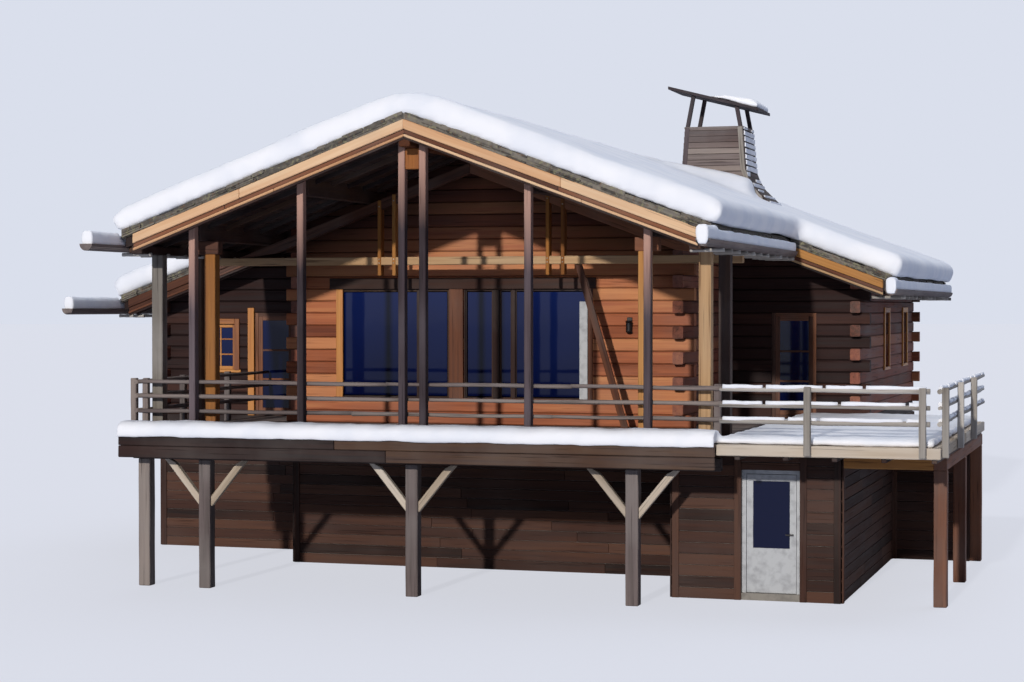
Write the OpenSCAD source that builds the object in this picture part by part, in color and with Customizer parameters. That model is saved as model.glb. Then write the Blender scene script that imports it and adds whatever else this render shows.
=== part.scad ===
// Alpine chalet: squared-log house on a boarded lower storey, with a deep
// veranda under the main gable, a side terrace, a stone roof under snow and
// a boarded chimney. X runs to the right seen from the front, Y into the
// house, Z up. The origin is on the ground, under the ridge, halfway along
// the house body.

/* [Storeys] */
// Height of the deck and upper floor above the ground
storey_h = 2750; // [2600:10:2900]
// Thickness of the upper floor
floor_t = 250; // [200:10:300]
// Thickness of the ground floor
ground_t = 120; // [100:10:160]
// Thickness of the walls of the lower storey
base_t = 250; // [200:10:300]

/* [House body] */
// Length from the face of the front wall to the face of the rear wall
body_l = 13000; // [12000:100:14000]
// Width of the hall that stands forward between the wings
hall_w = 7800; // [7600:50:7900]
// How far the left wing reaches beyond the hall
left_wing_w = 3850; // [3600:50:4000]
// How far the right wing reaches beyond the hall
right_wing_w = 2700; // [2500:50:2900]
// How far the left wing's front stands behind the hall's front
left_setback = 2000; // [1800:50:2200]
// How far the right wing's front stands behind the hall's front
right_setback = 4000; // [3800:50:4200]

/* [Logs] */
// Thickness of a squared log
log_t = 200; // [180:5:220]
// Height of a log course
log_h = 236; // [230:2:240]
// Bevel along the edges of a log
log_c = 24; // [10:2:30]
// Length of a log head beyond a corner
head_l = 170; // [120:10:200]

/* [Roof] */
// Height of the underside of the roof boards at the ridge
ridge_z = 8000; // [7900:10:8100]
// Fall of the roof for each unit of run
fall = 0.373; // [0.36:0.001:0.38]
// Upright thickness of the roof boards and rafters
roof_t = 190; // [150:10:220]
// Upright thickness of the stone slabs
stone_t = 130; // [100:10:160]
// Width of a row of stone slabs
stone_row = 525; // [450:25:700]
// Step from one row of stone slabs to the next
stone_step = 34; // [20:2:40]
// Upright thickness of the snow
snow_t = 480; // [300:10:540]
// How far the stone slabs overhang the boards
stone_over = 80; // [40:10:120]
// Run of the main roof from the ridge to its eaves
eave_w = 5250; // [5150:10:5350]
// Run of the roof beyond the outer face of the left wing
left_eave = 500; // [400:10:600]
// Run of the roof beyond the outer face of the right wing
right_eave = 650; // [500:10:700]
// How far the main roof runs forward of the front posts
front_verge = 450; // [350:10:550]
// How far the roof runs past the rear wall
rear_verge = 500; // [400:10:600]
// How far the left wing's roof runs forward of its wall
left_verge = 700; // [600:10:800]
// How far the right wing's roof runs forward of its wall
right_verge = 900; // [700:10:1000]
// Depth of the verge boards, measured upright
rake_h = 300; // [280:10:340]
// Thickness of the upper verge board
rake_t = 60; // [40:5:80]

/* [Veranda] */
// Depth of the veranda, from the front posts to the front wall
veranda_d = 4000; // [3800:50:4200]
// Spacing of the tall front posts
post_bay = 2075; // [1950:25:2100]
// Width of a tall front post
slim_w = 120; // [100:5:140]
// Depth of a tall front post
slim_d = 160; // [120:10:320]
// Width of a thick post
thick_w = 210; // [180:10:240]
// Distance of the inner pair of thick posts from the ridge
inner_x = 4000; // [3980:10:4060]
// Distance of the front row of thick posts behind the tall posts
thick_back = 450; // [400:10:500]
// Distance of the rear eaves posts behind the tall posts
eaves_back = 2100; // [1900:50:2300]
// Distance of the eaves posts from the ridge
outer_x = 5040; // [5000:10:5080]
// Width of a purlin
purlin_w = 200; // [160:10:240]
// Depth of a purlin
purlin_h = 240; // [200:10:280]
// Depth of the eaves purlins
eave_purlin_h = 150; // [120:10:180]
// Depth of the tie beam
tie_h = 150; // [120:10:180]
// Distance of the hangers from the ridge
hanger_x = 1650; // [1400:50:1900]
// Distance between the two hangers of a pair
hanger_gap = 290; // [200:10:360]
// Width of a hanger
hanger_w = 70; // [60:5:100]

/* [Deck] */
// Reach of the deck beyond the front posts
deck_front = 500; // [400:10:600]
// Reach of the deck to the left of the ridge
deck_left = 5300; // [5250:10:5400]
// Reach of the deck to the right of the ridge
deck_right = 5400; // [5350:10:5500]
// Width of the terrace to the right of the deck
terrace_w = 3550; // [3400:50:3700]
// Thickness of the deck boards
board_t = 50; // [40:5:60]
// Depth of the joists
joist_h = 200; // [160:10:220]
// Width of a joist
joist_w = 90; // [70:5:120]
// Depth of the edge beam
edge_h = 420; // [380:10:460]
// Thickness of the edge beam
edge_t = 60; // [50:5:80]
// Depth of the terrace's edge plank
plank_h = 180; // [160:10:240]
// Depth of the bearer on the support posts
bearer_h = 220; // [180:10:240]
// Spacing of the inner support posts
support_bay = 3900; // [3800:20:3960]
// Width of a support post
support_w = 220; // [180:10:260]
// Reach of a brace to each side of its post
brace_reach = 800; // [600:50:900]
// Drop of a brace below the bearer
brace_drop = 820; // [600:20:1000]
// Thickness of a brace
brace_t = 120; // [100:5:140]

// Width of the plank that leans from the tie beam to the deck
lean_w = 130; // [100:5:160]
// How far the foot of that plank stands out from its head
lean_run = 890; // [700:10:1000]

/* [Railings] */
// Heights of the three rails above the deck
rail_z = [380, 640, 900]; // [200:10:1100]
// Thickness of a rail
rail_d = 85; // [70:5:100]
// Width of a rail post
rail_post_w = 110; // [90:5:130]
// Height of a rail post
rail_post_h = 960; // [950:10:1100]
// Depth that a rail is let into its posts
rail_seat = 12; // [5:1:25]

/* [Windows and door] */
// Log courses below the windows
sill_courses = 2; // [2:1:3]
// Log courses from the floor to the window heads
head_courses = 11; // [10:1:11]
// Width of the left front window
front_win_a = 2300; // [2200:10:2400]
// Width of the right front window
front_win_b = 2470; // [2300:10:2500]
// Left edge of the left front window, from the ridge
front_win_x = -3000; // [-3100:10:-2900]
// Width of the pillar between the front windows
pillar_w = 280; // [250:10:400]
// Width of a window frame member
frame_w = 70; // [50:5:90]
// Depth of a window frame
frame_d = 90; // [70:5:120]
// Thickness of the glass
glass_t = 24; // [16:2:30]
// Width of the small windows
small_win_w = 700; // [600:20:900]
// Width of the glazed doors on the terrace
terrace_door_w = 900; // [800:20:1000]
// Left edge of the annex doorway, from the ridge
door_x = 5500; // [5400:10:5600]
// Width of the annex door leaf
leaf_w = 850; // [750:10:900]
// Height of the annex door leaf
leaf_h = 2020; // [1900:10:2080]
// Thickness of the annex door leaf
leaf_t = 50; // [40:5:60]
// Gap round the annex door leaf
leaf_gap = 6; // [5:1:10]

/* [Annex] */
// Distance from the front posts back to the annex wall
annex_back = 1200; // [1100:50:1400]
// Left face of the annex, from the ridge
annex_x = 4300; // [4250:10:4400]
// Right face of the annex, from the ridge
annex_right = 7200; // [7100:50:7300]

/* [Snow on the deck] */
// Height of the snow along the front edge of the deck
deck_snow_h = 240; // [140:10:280]
// How far that snow hangs out over the edge beam
deck_snow_lip = 85; // [40:5:90]
// Height of the snow on the terrace
terrace_snow_h = 130; // [80:10:160]

/* [Gutters] */
// Outer radius of a log gutter
gutter_r = 120; // [100:5:140]
// Radius of the channel in a log gutter
channel_r = 85; // [70:5:100]
// How far the right main gutter runs forward of the verge
gutter_out = 950; // [700:50:1200]
// How far the left main gutter runs forward of the verge
left_gutter_out = 1250; // [700:50:1400]
// How far the left wing's gutter runs forward of its verge
wing_gutter_out = 2200; // [1800:50:2400]

/* [Chimney] */
// Distance of the chimney from the ridge
stack_x = 2480; // [2300:20:2600]
// Distance of the chimney behind the middle of the body
stack_y = 3600; // [3200:50:4000]
// Width of the stack at its foot
stack_w = 1620; // [1500:10:1700]
// Width of the stack at its top
stack_top_w = 1320; // [1200:10:1400]
// Height of the top of the stack above the ridge of the boards
stack_rise = 1110; // [950:10:1150]
// Thickness of the stack's boards
stack_t = 60; // [40:5:80]
// Reach of the flared skirt on the low side
skirt_w = 480; // [300:20:600]
// Length of the lid
lid_l = 2100; // [2000:20:2400]
// Width of the lid
lid_w = 1500; // [1400:20:1600]
// Thickness of the lid
lid_t = 70; // [50:5:90]
// Height of the middle of the lid's underside above the stack
lid_gap = 610; // [450:10:640]
// Fall of the lid for each unit of run
lid_fall = 0.26; // [0.2:0.01:0.35]
// Thickness of the posts under the lid
chimney_post_w = 90; // [60:5:110]
// How far such a post leans in for each unit of height
chimney_lean = 0.19; // [0.1:0.01:0.22]

/* [Hidden] */

// Lines of the plan
front_y = -body_l / 2;
rear_y = body_l / 2;
post_y = front_y - veranda_d;
hall_x = hall_w / 2;
left_x = -(hall_x + left_wing_w);
right_x = hall_x + right_wing_w;
left_front_y = front_y + left_setback;
right_front_y = front_y + right_setback;
deck_y = post_y - deck_front;
terrace_x = deck_right + terrace_w;
terrace_y = deck_y + 100;
annex_y = post_y + annex_back;
thick_y = [post_y + thick_back, post_y + eaves_back];

// Lines of the roof, and top of the chimney's stack
stack_z = ridge_z + stack_rise;
verge_y = post_y - front_verge;
back_y = rear_y + rear_verge;
left_verge_y = left_front_y - left_verge;
right_verge_y = right_front_y - right_verge;
left_run = -left_x + left_eave;
right_run = right_x + right_eave;
tilt = atan(fall);
stone_z = roof_t + stone_t;
base_z = storey_h - floor_t;
head_z = storey_h + head_courses * log_h;
sill_z = storey_h + sill_courses * log_h;

// Clearance of a piece from the sloping face or wall that it lies against
seat = 0.3;

wood_dark = "#3A2A28";
wood_log = "#9A5A40";
wood_tan = "#C9A27A";
wood_grey = "#6E6265";
wood_pale = "#C0AC96";
snow_white = "#F7F8FD";
stone_grey = "#4B4740";
glass_navy = "#16255A";

// Height of the underside of the roof boards at a distance from the ridge
function roof_z(w) = ridge_z - fall * abs(w);

// Number of log courses that reach the roof at a distance from the ridge
function courses_to_roof(w) = ceil((roof_z(w) - storey_h) / log_h);

// A block from its low corner to its high corner
module block(low, high) {
    translate(low) cube(high - low);
}

// A shape drawn in X and Z, run from one Y to another
module run_y(y0, y1) {
    translate([0, y1, 0]) rotate([90, 0, 0]) linear_extrude(y1 - y0) children();
}

// A shape drawn in Y and Z, run from one X to another
module run_x(x0, x1) {
    translate([x0, 0, 0]) rotate([90, 0, 90]) linear_extrude(x1 - x0) children();
}

// A band that follows the right slope, between two runs and two heights over the underside
module slope_band(w0, w1, low, high, y0, y1) {
    run_y(y0, y1) polygon([
        [w0, roof_z(w0) + low], [w1, roof_z(w1) + low],
        [w1, roof_z(w1) + high], [w0, roof_z(w0) + high]
    ]);
}

// All that lies under the roof boards
module under_roof() {
    reach = -left_x + hall_x;
    run_y(verge_y, back_y) polygon([
        [-reach, 0], [reach, 0], [reach, roof_z(reach) - seat], [0, ridge_z - seat],
        [-reach, roof_z(reach) - seat]
    ]);
}

// Outline of a squared log with bevelled edges
module log_section() {
    polygon([
        [log_c, 0], [log_t - log_c, 0], [log_t, log_c], [log_t, log_h - log_c],
        [log_t - log_c, log_h], [log_c, log_h], [0, log_h - log_c], [0, log_c]
    ]);
}

// One log along X, its outer face at y
module log_x(x0, x1, y, course) {
    translate([0, y, storey_h + course * log_h]) run_x(x0, x1) log_section();
}

// One log along Y, its low face in X at x
module log_y(y0, y1, x, course) {
    translate([x, 0, storey_h + course * log_h]) run_y(y0, y1) log_section();
}

// Even courses run through a crossing corner with a head, odd ones stop behind the other wall
function corner(course, crossing) =
    !crossing ? 0 : course % 2 == 0 ? head_l : -log_t;

// Log wall along X with crossing corners at either end, cut by the roof
module log_wall_x(x0, x1, y, first, last, cross0, cross1) {
    intersection() {
        for (i = [first : last])
            log_x(x0 - corner(i, cross0), x1 + corner(i, cross1), y, i);
        under_roof();
    }
}

// Log wall along Y: here the odd courses run through
module log_wall_y(y0, y1, x, first, last, cross0, cross1) {
    intersection() {
        for (i = [first : last])
            log_y(y0 - corner(i + 1, cross0), y1 + corner(i + 1, cross1), x, i);
        under_roof();
    }
}

// Hole through a wall along X
module hole_x(x0, x1, y, z0, z1) {
    block([x0, y - 1, z0], [x1, y + log_t + 1, z1]);
}

// Hole through a wall along Y
module hole_y(y0, y1, x, z0, z1) {
    block([x - 1, y0, z0], [x + log_t + 1, y1, z1]);
}

// Outline of a window frame
module frame_ring(w, h) {
    difference() {
        square([w, h]);
        translate([frame_w, frame_w]) square([w - 2 * frame_w, h - 2 * frame_w]);
    }
}

// Sills and heads of the small windows and the terrace door, on whole courses
small_z = [storey_h + 4 * log_h, storey_h + 9 * log_h];
left_side_head_z = storey_h + 8 * log_h;
door_head_z = storey_h + 9 * log_h;

// Low edges of the small windows along their walls
left_win_x = left_x + 970;
side_win_step = 3300;
left_side_win_y = [for (i = [0 : 2]) left_front_y + 2300 + i * side_win_step];
right_side_win_y = [for (i = [1 : 2]) right_front_y + 300 + i * side_win_step];
rear_win_in = 2000;
rear_win_mid = 600;
rear_win_x = [
    left_x + rear_win_in, -small_win_w - rear_win_mid, rear_win_mid, right_x - rear_win_in - small_win_w
];
terrace_door_x = hall_x + 900;
left_door_x = -hall_x - terrace_door_w - 840;
front_win_b_x = front_win_x + front_win_a + pillar_w;

/* Lower storey */

module ground_floor() {
    color("#8C8680") {
        block([left_x + base_t, left_front_y + base_t, 0], [right_x - base_t, rear_y - base_t, ground_t]);
        block([-hall_x + base_t, front_y + base_t, 0], [annex_x + base_t, left_front_y + base_t, ground_t]);
        block([annex_x + base_t, annex_y + base_t, 0], [annex_right - base_t, right_front_y, ground_t]);
        block([annex_x + base_t, right_front_y, 0], [right_x - base_t, left_front_y + base_t + 1, ground_t]);
        block([door_x, annex_y, 0], [door_x + doorway_w, annex_y + base_t, ground_t]);
    }
}

module lower_side_walls() {
    color(wood_log) {
        block([left_x, left_front_y + base_t, 0], [left_x + base_t, rear_y - base_t, base_z]);
        block([right_x - base_t, right_front_y + base_t, 0], [right_x, rear_y - base_t, base_z]);
        block([annex_x, annex_y + base_t, 0], [annex_x + base_t, front_y + base_t, base_z]);
        block([annex_right - base_t, annex_y + base_t, 0], [annex_right, right_front_y, base_z]);
    }
}

module lower_rear_wall() {
    color(wood_log) block([left_x, rear_y - base_t, 0], [right_x, rear_y, base_z]);
}

module lower_front_walls() {
    color(wood_log) {
        block([left_x, left_front_y, 0], [-hall_x, left_front_y + base_t, base_z]);
        block([-hall_x, front_y, 0], [-hall_x + base_t, left_front_y + base_t, base_z]);
        block([-hall_x + base_t, front_y, 0], [annex_x, front_y + base_t, base_z]);
        block([right_x - base_t, right_front_y, 0], [terrace_x - support_w, right_front_y + base_t, base_z]);
    }
}

/* Annex under the terrace */

close_gap = leaf_gap + 4;
doorway_w = leaf_w + 2 * frame_w + leaf_gap + close_gap;
doorway_z = ground_t + leaf_h + frame_w + 2 * leaf_gap;

module annex_wall_left() {
    color(wood_log) block([annex_x, annex_y, 0], [door_x, annex_y + base_t, base_z]);
}

module annex_wall_right() {
    color(wood_log) block([door_x + doorway_w, annex_y, 0], [annex_right, annex_y + base_t, base_z]);
}

module annex_lintel() {
    color(wood_log) block([door_x, annex_y, doorway_z], [door_x + doorway_w, annex_y + base_t, base_z]);
}

// The leaf stands in the frame, its hinge line behind its inner face
leaf_y = annex_y + 90;
knuckle_r = 13;
hinge_x = door_x + frame_w;
hinge_y = leaf_y + leaf_t + knuckle_r + 3;
pin_r = 7;
knuckle_h = 100;
lug_h = 24;
pin_fit = 0.3;
knuckle_up = [260, 1640];
knuckle_z = [for (up = knuckle_up) ground_t + up];
leaf_z = ground_t + leaf_gap;

module annex_door_frame() {
    color("#B9BBBE") {
        difference() {
            block([door_x, leaf_y - 20, ground_t], [door_x + doorway_w, hinge_y - knuckle_r - 1, doorway_z]);
            block([door_x + frame_w, leaf_y - 21, ground_t - 1],
                  [door_x + doorway_w - frame_w, hinge_y, doorway_z - frame_w]);
        }
        for (z = knuckle_z) {
            translate([hinge_x, hinge_y, z - lug_h]) cylinder(r = pin_r, h = knuckle_h + 2 * lug_h, $fn = 32);
            for (lug = [z - lug_h, z + knuckle_h + pin_fit])
                hinge_lug(lug);
        }
    }
}

// Lug that holds a hinge pin, seated on the inner face of the jamb and round about the pin
module hinge_lug(z) {
    difference() {
        union() {
            block([hinge_x - frame_w + 10, hinge_y - knuckle_r - 1, z],
                  [hinge_x, hinge_y + knuckle_r, z + lug_h - pin_fit]);
            translate([hinge_x, hinge_y, z]) cylinder(r = knuckle_r, h = lug_h - pin_fit, $fn = 32);
        }
        translate([hinge_x, hinge_y, z - 1]) cylinder(r = pin_r - 1, h = lug_h + 2, $fn = 32);
    }
}

// Border round the pane of the leaf, height of the panel under the pane, and height of the handle
pane_edge = 110;
panel_h = 650;
handle_z = 1000;

module annex_door() {
    x0 = hinge_x + leaf_gap;
    color("#C4C6C8") {
        difference() {
            block([x0, leaf_y, leaf_z], [x0 + leaf_w, leaf_y + leaf_t, leaf_z + leaf_h - leaf_gap]);
            block([x0 + pane_edge, leaf_y - 1, leaf_z + pane_edge + panel_h],
                  [x0 + leaf_w - pane_edge, leaf_y + leaf_t + 1, leaf_z + leaf_h - leaf_gap - pane_edge]);
        }
        for (z = knuckle_z) difference() {
            union() {
                translate([hinge_x, hinge_y, z + pin_fit])
                    cylinder(r = knuckle_r, h = knuckle_h - pin_fit, $fn = 32);
                block([hinge_x + 2, leaf_y + leaf_t, z + pin_fit], [x0 + 60, hinge_y, z + knuckle_h]);
            }
            translate([hinge_x, hinge_y, z - 1]) cylinder(r = pin_r + pin_fit, h = knuckle_h + 2, $fn = 32);
        }
    }
}

module annex_door_glass() {
    x0 = hinge_x + leaf_gap;
    mid = leaf_y + leaf_t / 2;
    color(glass_navy)
        block([x0 + pane_edge, mid - glass_t / 2, leaf_z + pane_edge + panel_h],
              [x0 + leaf_w - pane_edge, mid + glass_t / 2, leaf_z + leaf_h - leaf_gap - pane_edge]);
}

module annex_door_handle() {
    x = hinge_x + leaf_gap + leaf_w - pane_edge / 2;
    z = leaf_z + handle_z;
    color("#8C8C90") for (side = [0, 1])
        translate([x, side == 0 ? leaf_y : leaf_y + leaf_t, z]) mirror([0, 1 - side, 0]) {
            rotate([-90, 0, 0]) cylinder(r = 11, h = 50, $fn = 24);
            translate([-120, 38, -11]) cube([131, 18, 22]);
        }
}

// Open bay at the terrace's outer corner: posts and a header
module bay_frame() {
    bay_x = terrace_x - support_w;
    low = base_z - bearer_h;
    color(wood_grey) {
        for (y = [annex_y, (annex_y + right_front_y) / 2])
            block([bay_x, y, 0], [terrace_x, y + support_w, low]);
        block([bay_x, right_front_y, 0], [terrace_x, right_front_y + base_t, low]);
        block([bay_x, annex_y, low], [terrace_x, right_front_y + base_t, base_z]);
        block([annex_right, annex_y, low], [bay_x, annex_y + support_w, base_z]);
    }
}

/* Upper storey */

module upper_floor() {
    color(wood_grey) {
        block([left_x, left_front_y, base_z], [-hall_x, rear_y, storey_h]);
        block([-hall_x, front_y, base_z], [hall_x, rear_y, storey_h]);
        block([hall_x, right_front_y, base_z], [right_x, rear_y, storey_h]);
    }
}

module facade_logs() {
    color(wood_log) {
        log_wall_x(-hall_x, hall_x, front_y, 0, sill_courses - 1, true, true);
        log_wall_x(-hall_x, hall_x, front_y, head_courses, courses_to_roof(0) - 1, true, true);
    }
}

module facade_piers() {
    color(wood_log) difference() {
        log_wall_x(-hall_x, hall_x, front_y, sill_courses, head_courses - 1, true, true);
        hole_x(front_win_x, front_win_x + front_win_a, front_y, sill_z, head_z);
        hole_x(front_win_b_x, front_win_b_x + front_win_b, front_y, sill_z, head_z);
    }
}

module hall_side_logs() {
    top = courses_to_roof(hall_x - log_t) - 1;
    color(wood_log) {
        log_wall_y(front_y, left_front_y + log_t, -hall_x, 0, top, true, false);
        log_wall_y(front_y, right_front_y + log_t, hall_x - log_t, 0, top, true, false);
    }
}

module wing_front_logs() {
    top = courses_to_roof(hall_x) - 1;
    color(wood_log) difference() {
        union() {
            log_wall_x(left_x, -hall_x, left_front_y, 0, top, true, false);
            log_wall_x(hall_x, right_x, right_front_y, 0, top, false, true);
        }
        hole_x(left_win_x, left_win_x + small_win_w, left_front_y, small_z[0], left_side_head_z);
        hole_x(left_door_x, left_door_x + terrace_door_w, left_front_y, storey_h, door_head_z);
        hole_x(terrace_door_x, terrace_door_x + terrace_door_w, right_front_y, storey_h, door_head_z);
    }
}

module wing_side_logs() {
    left_top = courses_to_roof(left_x + log_t) - 1;
    right_top = courses_to_roof(right_x - log_t) - 1;
    color(wood_log) difference() {
        union() {
            log_wall_y(left_front_y, rear_y, left_x, 0, left_top, true, true);
            log_wall_y(right_front_y, rear_y, right_x - log_t, 0, right_top, true, true);
        }
        for (y = left_side_win_y) hole_y(y, y + small_win_w, left_x, small_z[0], left_side_head_z);
        for (y = right_side_win_y) hole_y(y, y + small_win_w, right_x - log_t, small_z[0], small_z[1]);
    }
}

module rear_wall_logs() {
    color(wood_log) difference() {
        log_wall_x(left_x, right_x, rear_y - log_t, 0, courses_to_roof(0) - 1, true, true);
        for (x = rear_win_x) hole_x(x, x + small_win_w, rear_y - log_t, small_z[0], small_z[1]);
    }
}

// Depth of a window frame's outer face behind the low face of its wall
frame_in = 40;

// Frame of a window in a wall along X
module frame_x(x, w, y, z0, z1) {
    translate([x, 0, z0]) run_y(y + frame_in, y + frame_in + frame_d) frame_ring(w, z1 - z0);
}

// Frame of a window in a wall along Y
module frame_y(y, w, x, z0, z1) {
    translate([0, y, z0]) run_x(x + frame_in, x + frame_in + frame_d) frame_ring(w, z1 - z0);
}

// Glass of a window in a wall along X
module pane_x(x, w, y, z0, z1) {
    mid = y + frame_in + frame_d / 2;
    block([x + frame_w, mid - glass_t / 2, z0 + frame_w], [x + w - frame_w, mid + glass_t / 2, z1 - frame_w]);
}

// Glass of a window in a wall along Y
module pane_y(y, w, x, z0, z1) {
    mid = x + frame_in + frame_d / 2;
    block([mid - glass_t / 2, y + frame_w, z0 + frame_w], [mid + glass_t / 2, y + w - frame_w, z1 - frame_w]);
}

module window_frames() {
    color("#B8752C") {
        frame_x(front_win_x, front_win_a, front_y, sill_z, head_z);
        frame_x(front_win_b_x, front_win_b, front_y, sill_z, head_z);
        frame_x(left_win_x, small_win_w, left_front_y, small_z[0], left_side_head_z);
        for (y = left_side_win_y) frame_y(y, small_win_w, left_x, small_z[0], left_side_head_z);
        for (y = right_side_win_y) frame_y(y, small_win_w, right_x - log_t, small_z[0], small_z[1]);
        for (x = rear_win_x) frame_x(x, small_win_w, rear_y - log_t, small_z[0], small_z[1]);
    }
}

module window_glass() {
    color(glass_navy) {
        pane_x(front_win_x, front_win_a, front_y, sill_z, head_z);
        pane_x(front_win_b_x, front_win_b, front_y, sill_z, head_z);
        pane_x(left_win_x, small_win_w, left_front_y, small_z[0], left_side_head_z);
        for (y = left_side_win_y) pane_y(y, small_win_w, left_x, small_z[0], left_side_head_z);
        for (y = right_side_win_y) pane_y(y, small_win_w, right_x - log_t, small_z[0], small_z[1]);
        for (x = rear_win_x) pane_x(x, small_win_w, rear_y - log_t, small_z[0], small_z[1]);
    }
}

// The doors in the two wings, to the terrace and to the veranda
module terrace_door() {
    color("#8A5A34") for (door = [[terrace_door_x, right_front_y], [left_door_x, left_front_y]]) {
        frame_x(door[0], terrace_door_w, door[1], storey_h, door_head_z);
        pane_x(door[0], terrace_door_w, door[1], storey_h, door_head_z);
    }
}

/* Deck and what carries it */

support_x = [-deck_left + support_w, -support_bay, 0, support_bay];
bearer_z = storey_h - board_t - joist_h;

module support_posts() {
    h = support_w / 2;
    color(wood_pale) for (x = support_x)
        block([x - h, post_y - h, 0], [x + h, post_y + h, bearer_z - bearer_h]);
}

// One strut from the side of a post up to the bearer
module strut(side) {
    top = bearer_z - bearer_h;
    cut = brace_t * sqrt(2);
    mirror([side < 0 ? 1 : 0, 0, 0]) run_y(post_y - brace_t / 2, post_y + brace_t / 2) polygon([
        [support_w / 2, top - brace_drop], [support_w / 2, top - brace_drop + cut],
        [brace_reach - cut, top], [brace_reach, top]
    ]);
}

module support_braces() {
    color(wood_pale) for (i = [1 : 3], side = [-1, 1])
        translate([support_x[i], 0, 0]) strut(side);
}

module deck_bearers() {
    h = support_w / 2;
    color(wood_dark)
        block([-deck_left, post_y - h, bearer_z - bearer_h], [deck_right, post_y + h, bearer_z]);
}

// Largest spacing of the joists
joist_step = 800;

// Left edges of joists spread evenly between two ends
function joist_places(x0, x1) =
    let (n = ceil((x1 - x0 - joist_w) / joist_step))
    [for (i = [0 : n]) x0 + i * (x1 - x0 - joist_w) / n];

module deck_joists() {
    color(wood_dark) {
        for (x = joist_places(-deck_left, annex_x))
            block([x, deck_y, bearer_z],
                  [x + joist_w, abs(x + joist_w / 2) > hall_x ? left_front_y : front_y, bearer_z + joist_h]);
        for (x = joist_places(annex_x + 600, terrace_x))
            block([x, terrace_y, bearer_z], [x + joist_w, right_front_y, bearer_z + joist_h]);
    }
}

module deck_boards() {
    z = [storey_h - board_t, storey_h];
    color(wood_grey) {
        block([-deck_left, deck_y, z[0]], [deck_right, front_y, z[1]]);
        block([-deck_left, front_y, z[0]], [-hall_x, left_front_y, z[1]]);
        block([hall_x, front_y, z[0]], [deck_right, right_front_y, z[1]]);
    }
}

module terrace_boards() {
    color(wood_pale)
        block([deck_right, terrace_y, storey_h - board_t], [terrace_x, right_front_y, storey_h]);
}

module deck_edge_beams() {
    color(wood_dark) {
        block([-deck_left - edge_t, deck_y - edge_t, storey_h - edge_h], [deck_right, deck_y, storey_h]);
        block([-deck_left - edge_t, deck_y, storey_h - edge_h], [-deck_left, left_front_y, storey_h]);
    }
    color(wood_pale) {
        block([deck_right, terrace_y - edge_t, storey_h - plank_h],
              [terrace_x + edge_t, terrace_y, storey_h]);
        block([terrace_x, terrace_y, storey_h - plank_h],
              [terrace_x + edge_t, right_front_y, storey_h]);
    }
}

/* Railings */

// Three rails along X, and posts on one side of them: 1 behind, -1 in front
module railing_x(x0, x1, y, posts, side, drop) {
    for (z = rail_z)
        translate([0, y, storey_h + z]) rotate([90, 0, 90]) translate([0, 0, x0])
            rotate(22.5) cylinder(d = rail_d / cos(22.5), h = x1 - x0, $fn = 8);
    for (x = posts) translate([x - rail_post_w / 2, y, storey_h - drop]) mirror([0, side < 0 ? 1 : 0, 0])
        translate([0, rail_d / 2 - rail_seat, 0]) cube([rail_post_w, rail_post_w, rail_post_h + drop]);
}

// The deck's rails run behind the tall front posts
deck_rail_y = post_y + slim_d / 2 + rail_d / 2 + seat;
terrace_rail_y = terrace_y - edge_t + rail_d / 2 - rail_seat;
deck_rail_x = -deck_left - edge_t + rail_d / 2 - rail_seat;
terrace_rail_x = terrace_x + edge_t - rail_d / 2 + rail_seat;
rail_post_step = 2000;
terrace_post_step = 2600;
terrace_post_in = 1500;
terrace_post_drop = plank_h - 20;

module deck_railing() {
    x0 = deck_rail_x + rail_d / 2 + seat;
    y0 = deck_rail_y - rail_d / 2;
    color(wood_grey) {
        railing_x(x0, deck_right, deck_rail_y, [-deck_left + rail_post_w, deck_right - rail_post_w], 1, 0);
        translate([deck_rail_x, 0, 0]) rotate([0, 0, 90])
            railing_x(y0, left_front_y - seat, 0,
                      [for (i = [0 : 2]) y0 + rail_post_w + i * rail_post_step], 1, edge_h / 2);
    }
}

module terrace_railing() {
    color(wood_grey) {
        railing_x(deck_right + rail_post_w / 2, terrace_x - rail_post_w, terrace_rail_y,
                  [deck_right + terrace_post_in, terrace_x - 2 * rail_post_w], -1, terrace_post_drop);
        translate([terrace_rail_x, 0, 0]) rotate([0, 0, 90])
            railing_x(terrace_y + edge_t, right_front_y, 0,
                      [for (i = [0 : 2]) terrace_y + 160 + i * terrace_post_step], -1, terrace_post_drop);
    }
}

/* Veranda frame */

slim_x = [-2 * post_bay, -post_bay, post_bay, 2 * post_bay];

// Distance of the twin posts from the ridge, and depth of the block between their heads
twin_x = 190;
head_block_h = 520;

module front_posts() {
    w = slim_w / 2;
    d = slim_d / 2;
    head = ridge_z - fall * purlin_w / 2 - purlin_h;
    color(wood_grey) {
        intersection() {
            for (x = concat(slim_x, [-twin_x, twin_x]))
                block([x - w, post_y - d, storey_h], [x + w, post_y + d, ridge_z]);
            under_roof();
        }
        block([-twin_x + w, post_y - slim_d / 3, head - head_block_h],
              [twin_x - w, post_y + slim_d / 3, head]);
    }
}

// Depth of the block that carries the purlin beside an inner post, and its reach to the other side
bolster_h = 240;
bolster_out = 60;

module thick_posts() {
    h = thick_w / 2;
    color("#9C6A36") {
        for (side = [0, 1]) mirror([side, 0, 0]) {
            head = roof_z(2 * post_bay + purlin_w / 2) - purlin_h;
            block([inner_x - h, thick_y[0] - h, storey_h], [inner_x + h, thick_y[0] + h, head - bolster_h]);
            block([inner_x - h - bolster_out, thick_y[0] - h, head - bolster_h],
                  [2 * post_bay + purlin_w / 2, thick_y[0] + h, head]);
        }
        for (x = [-outer_x, outer_x], y = thick_y)
            block([x - h, y - h, storey_h], [x + h, y + h, eave_purlin_z]);
    }
}

eave_purlin_z = roof_z(outer_x + purlin_w / 2) - eave_purlin_h;

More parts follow.
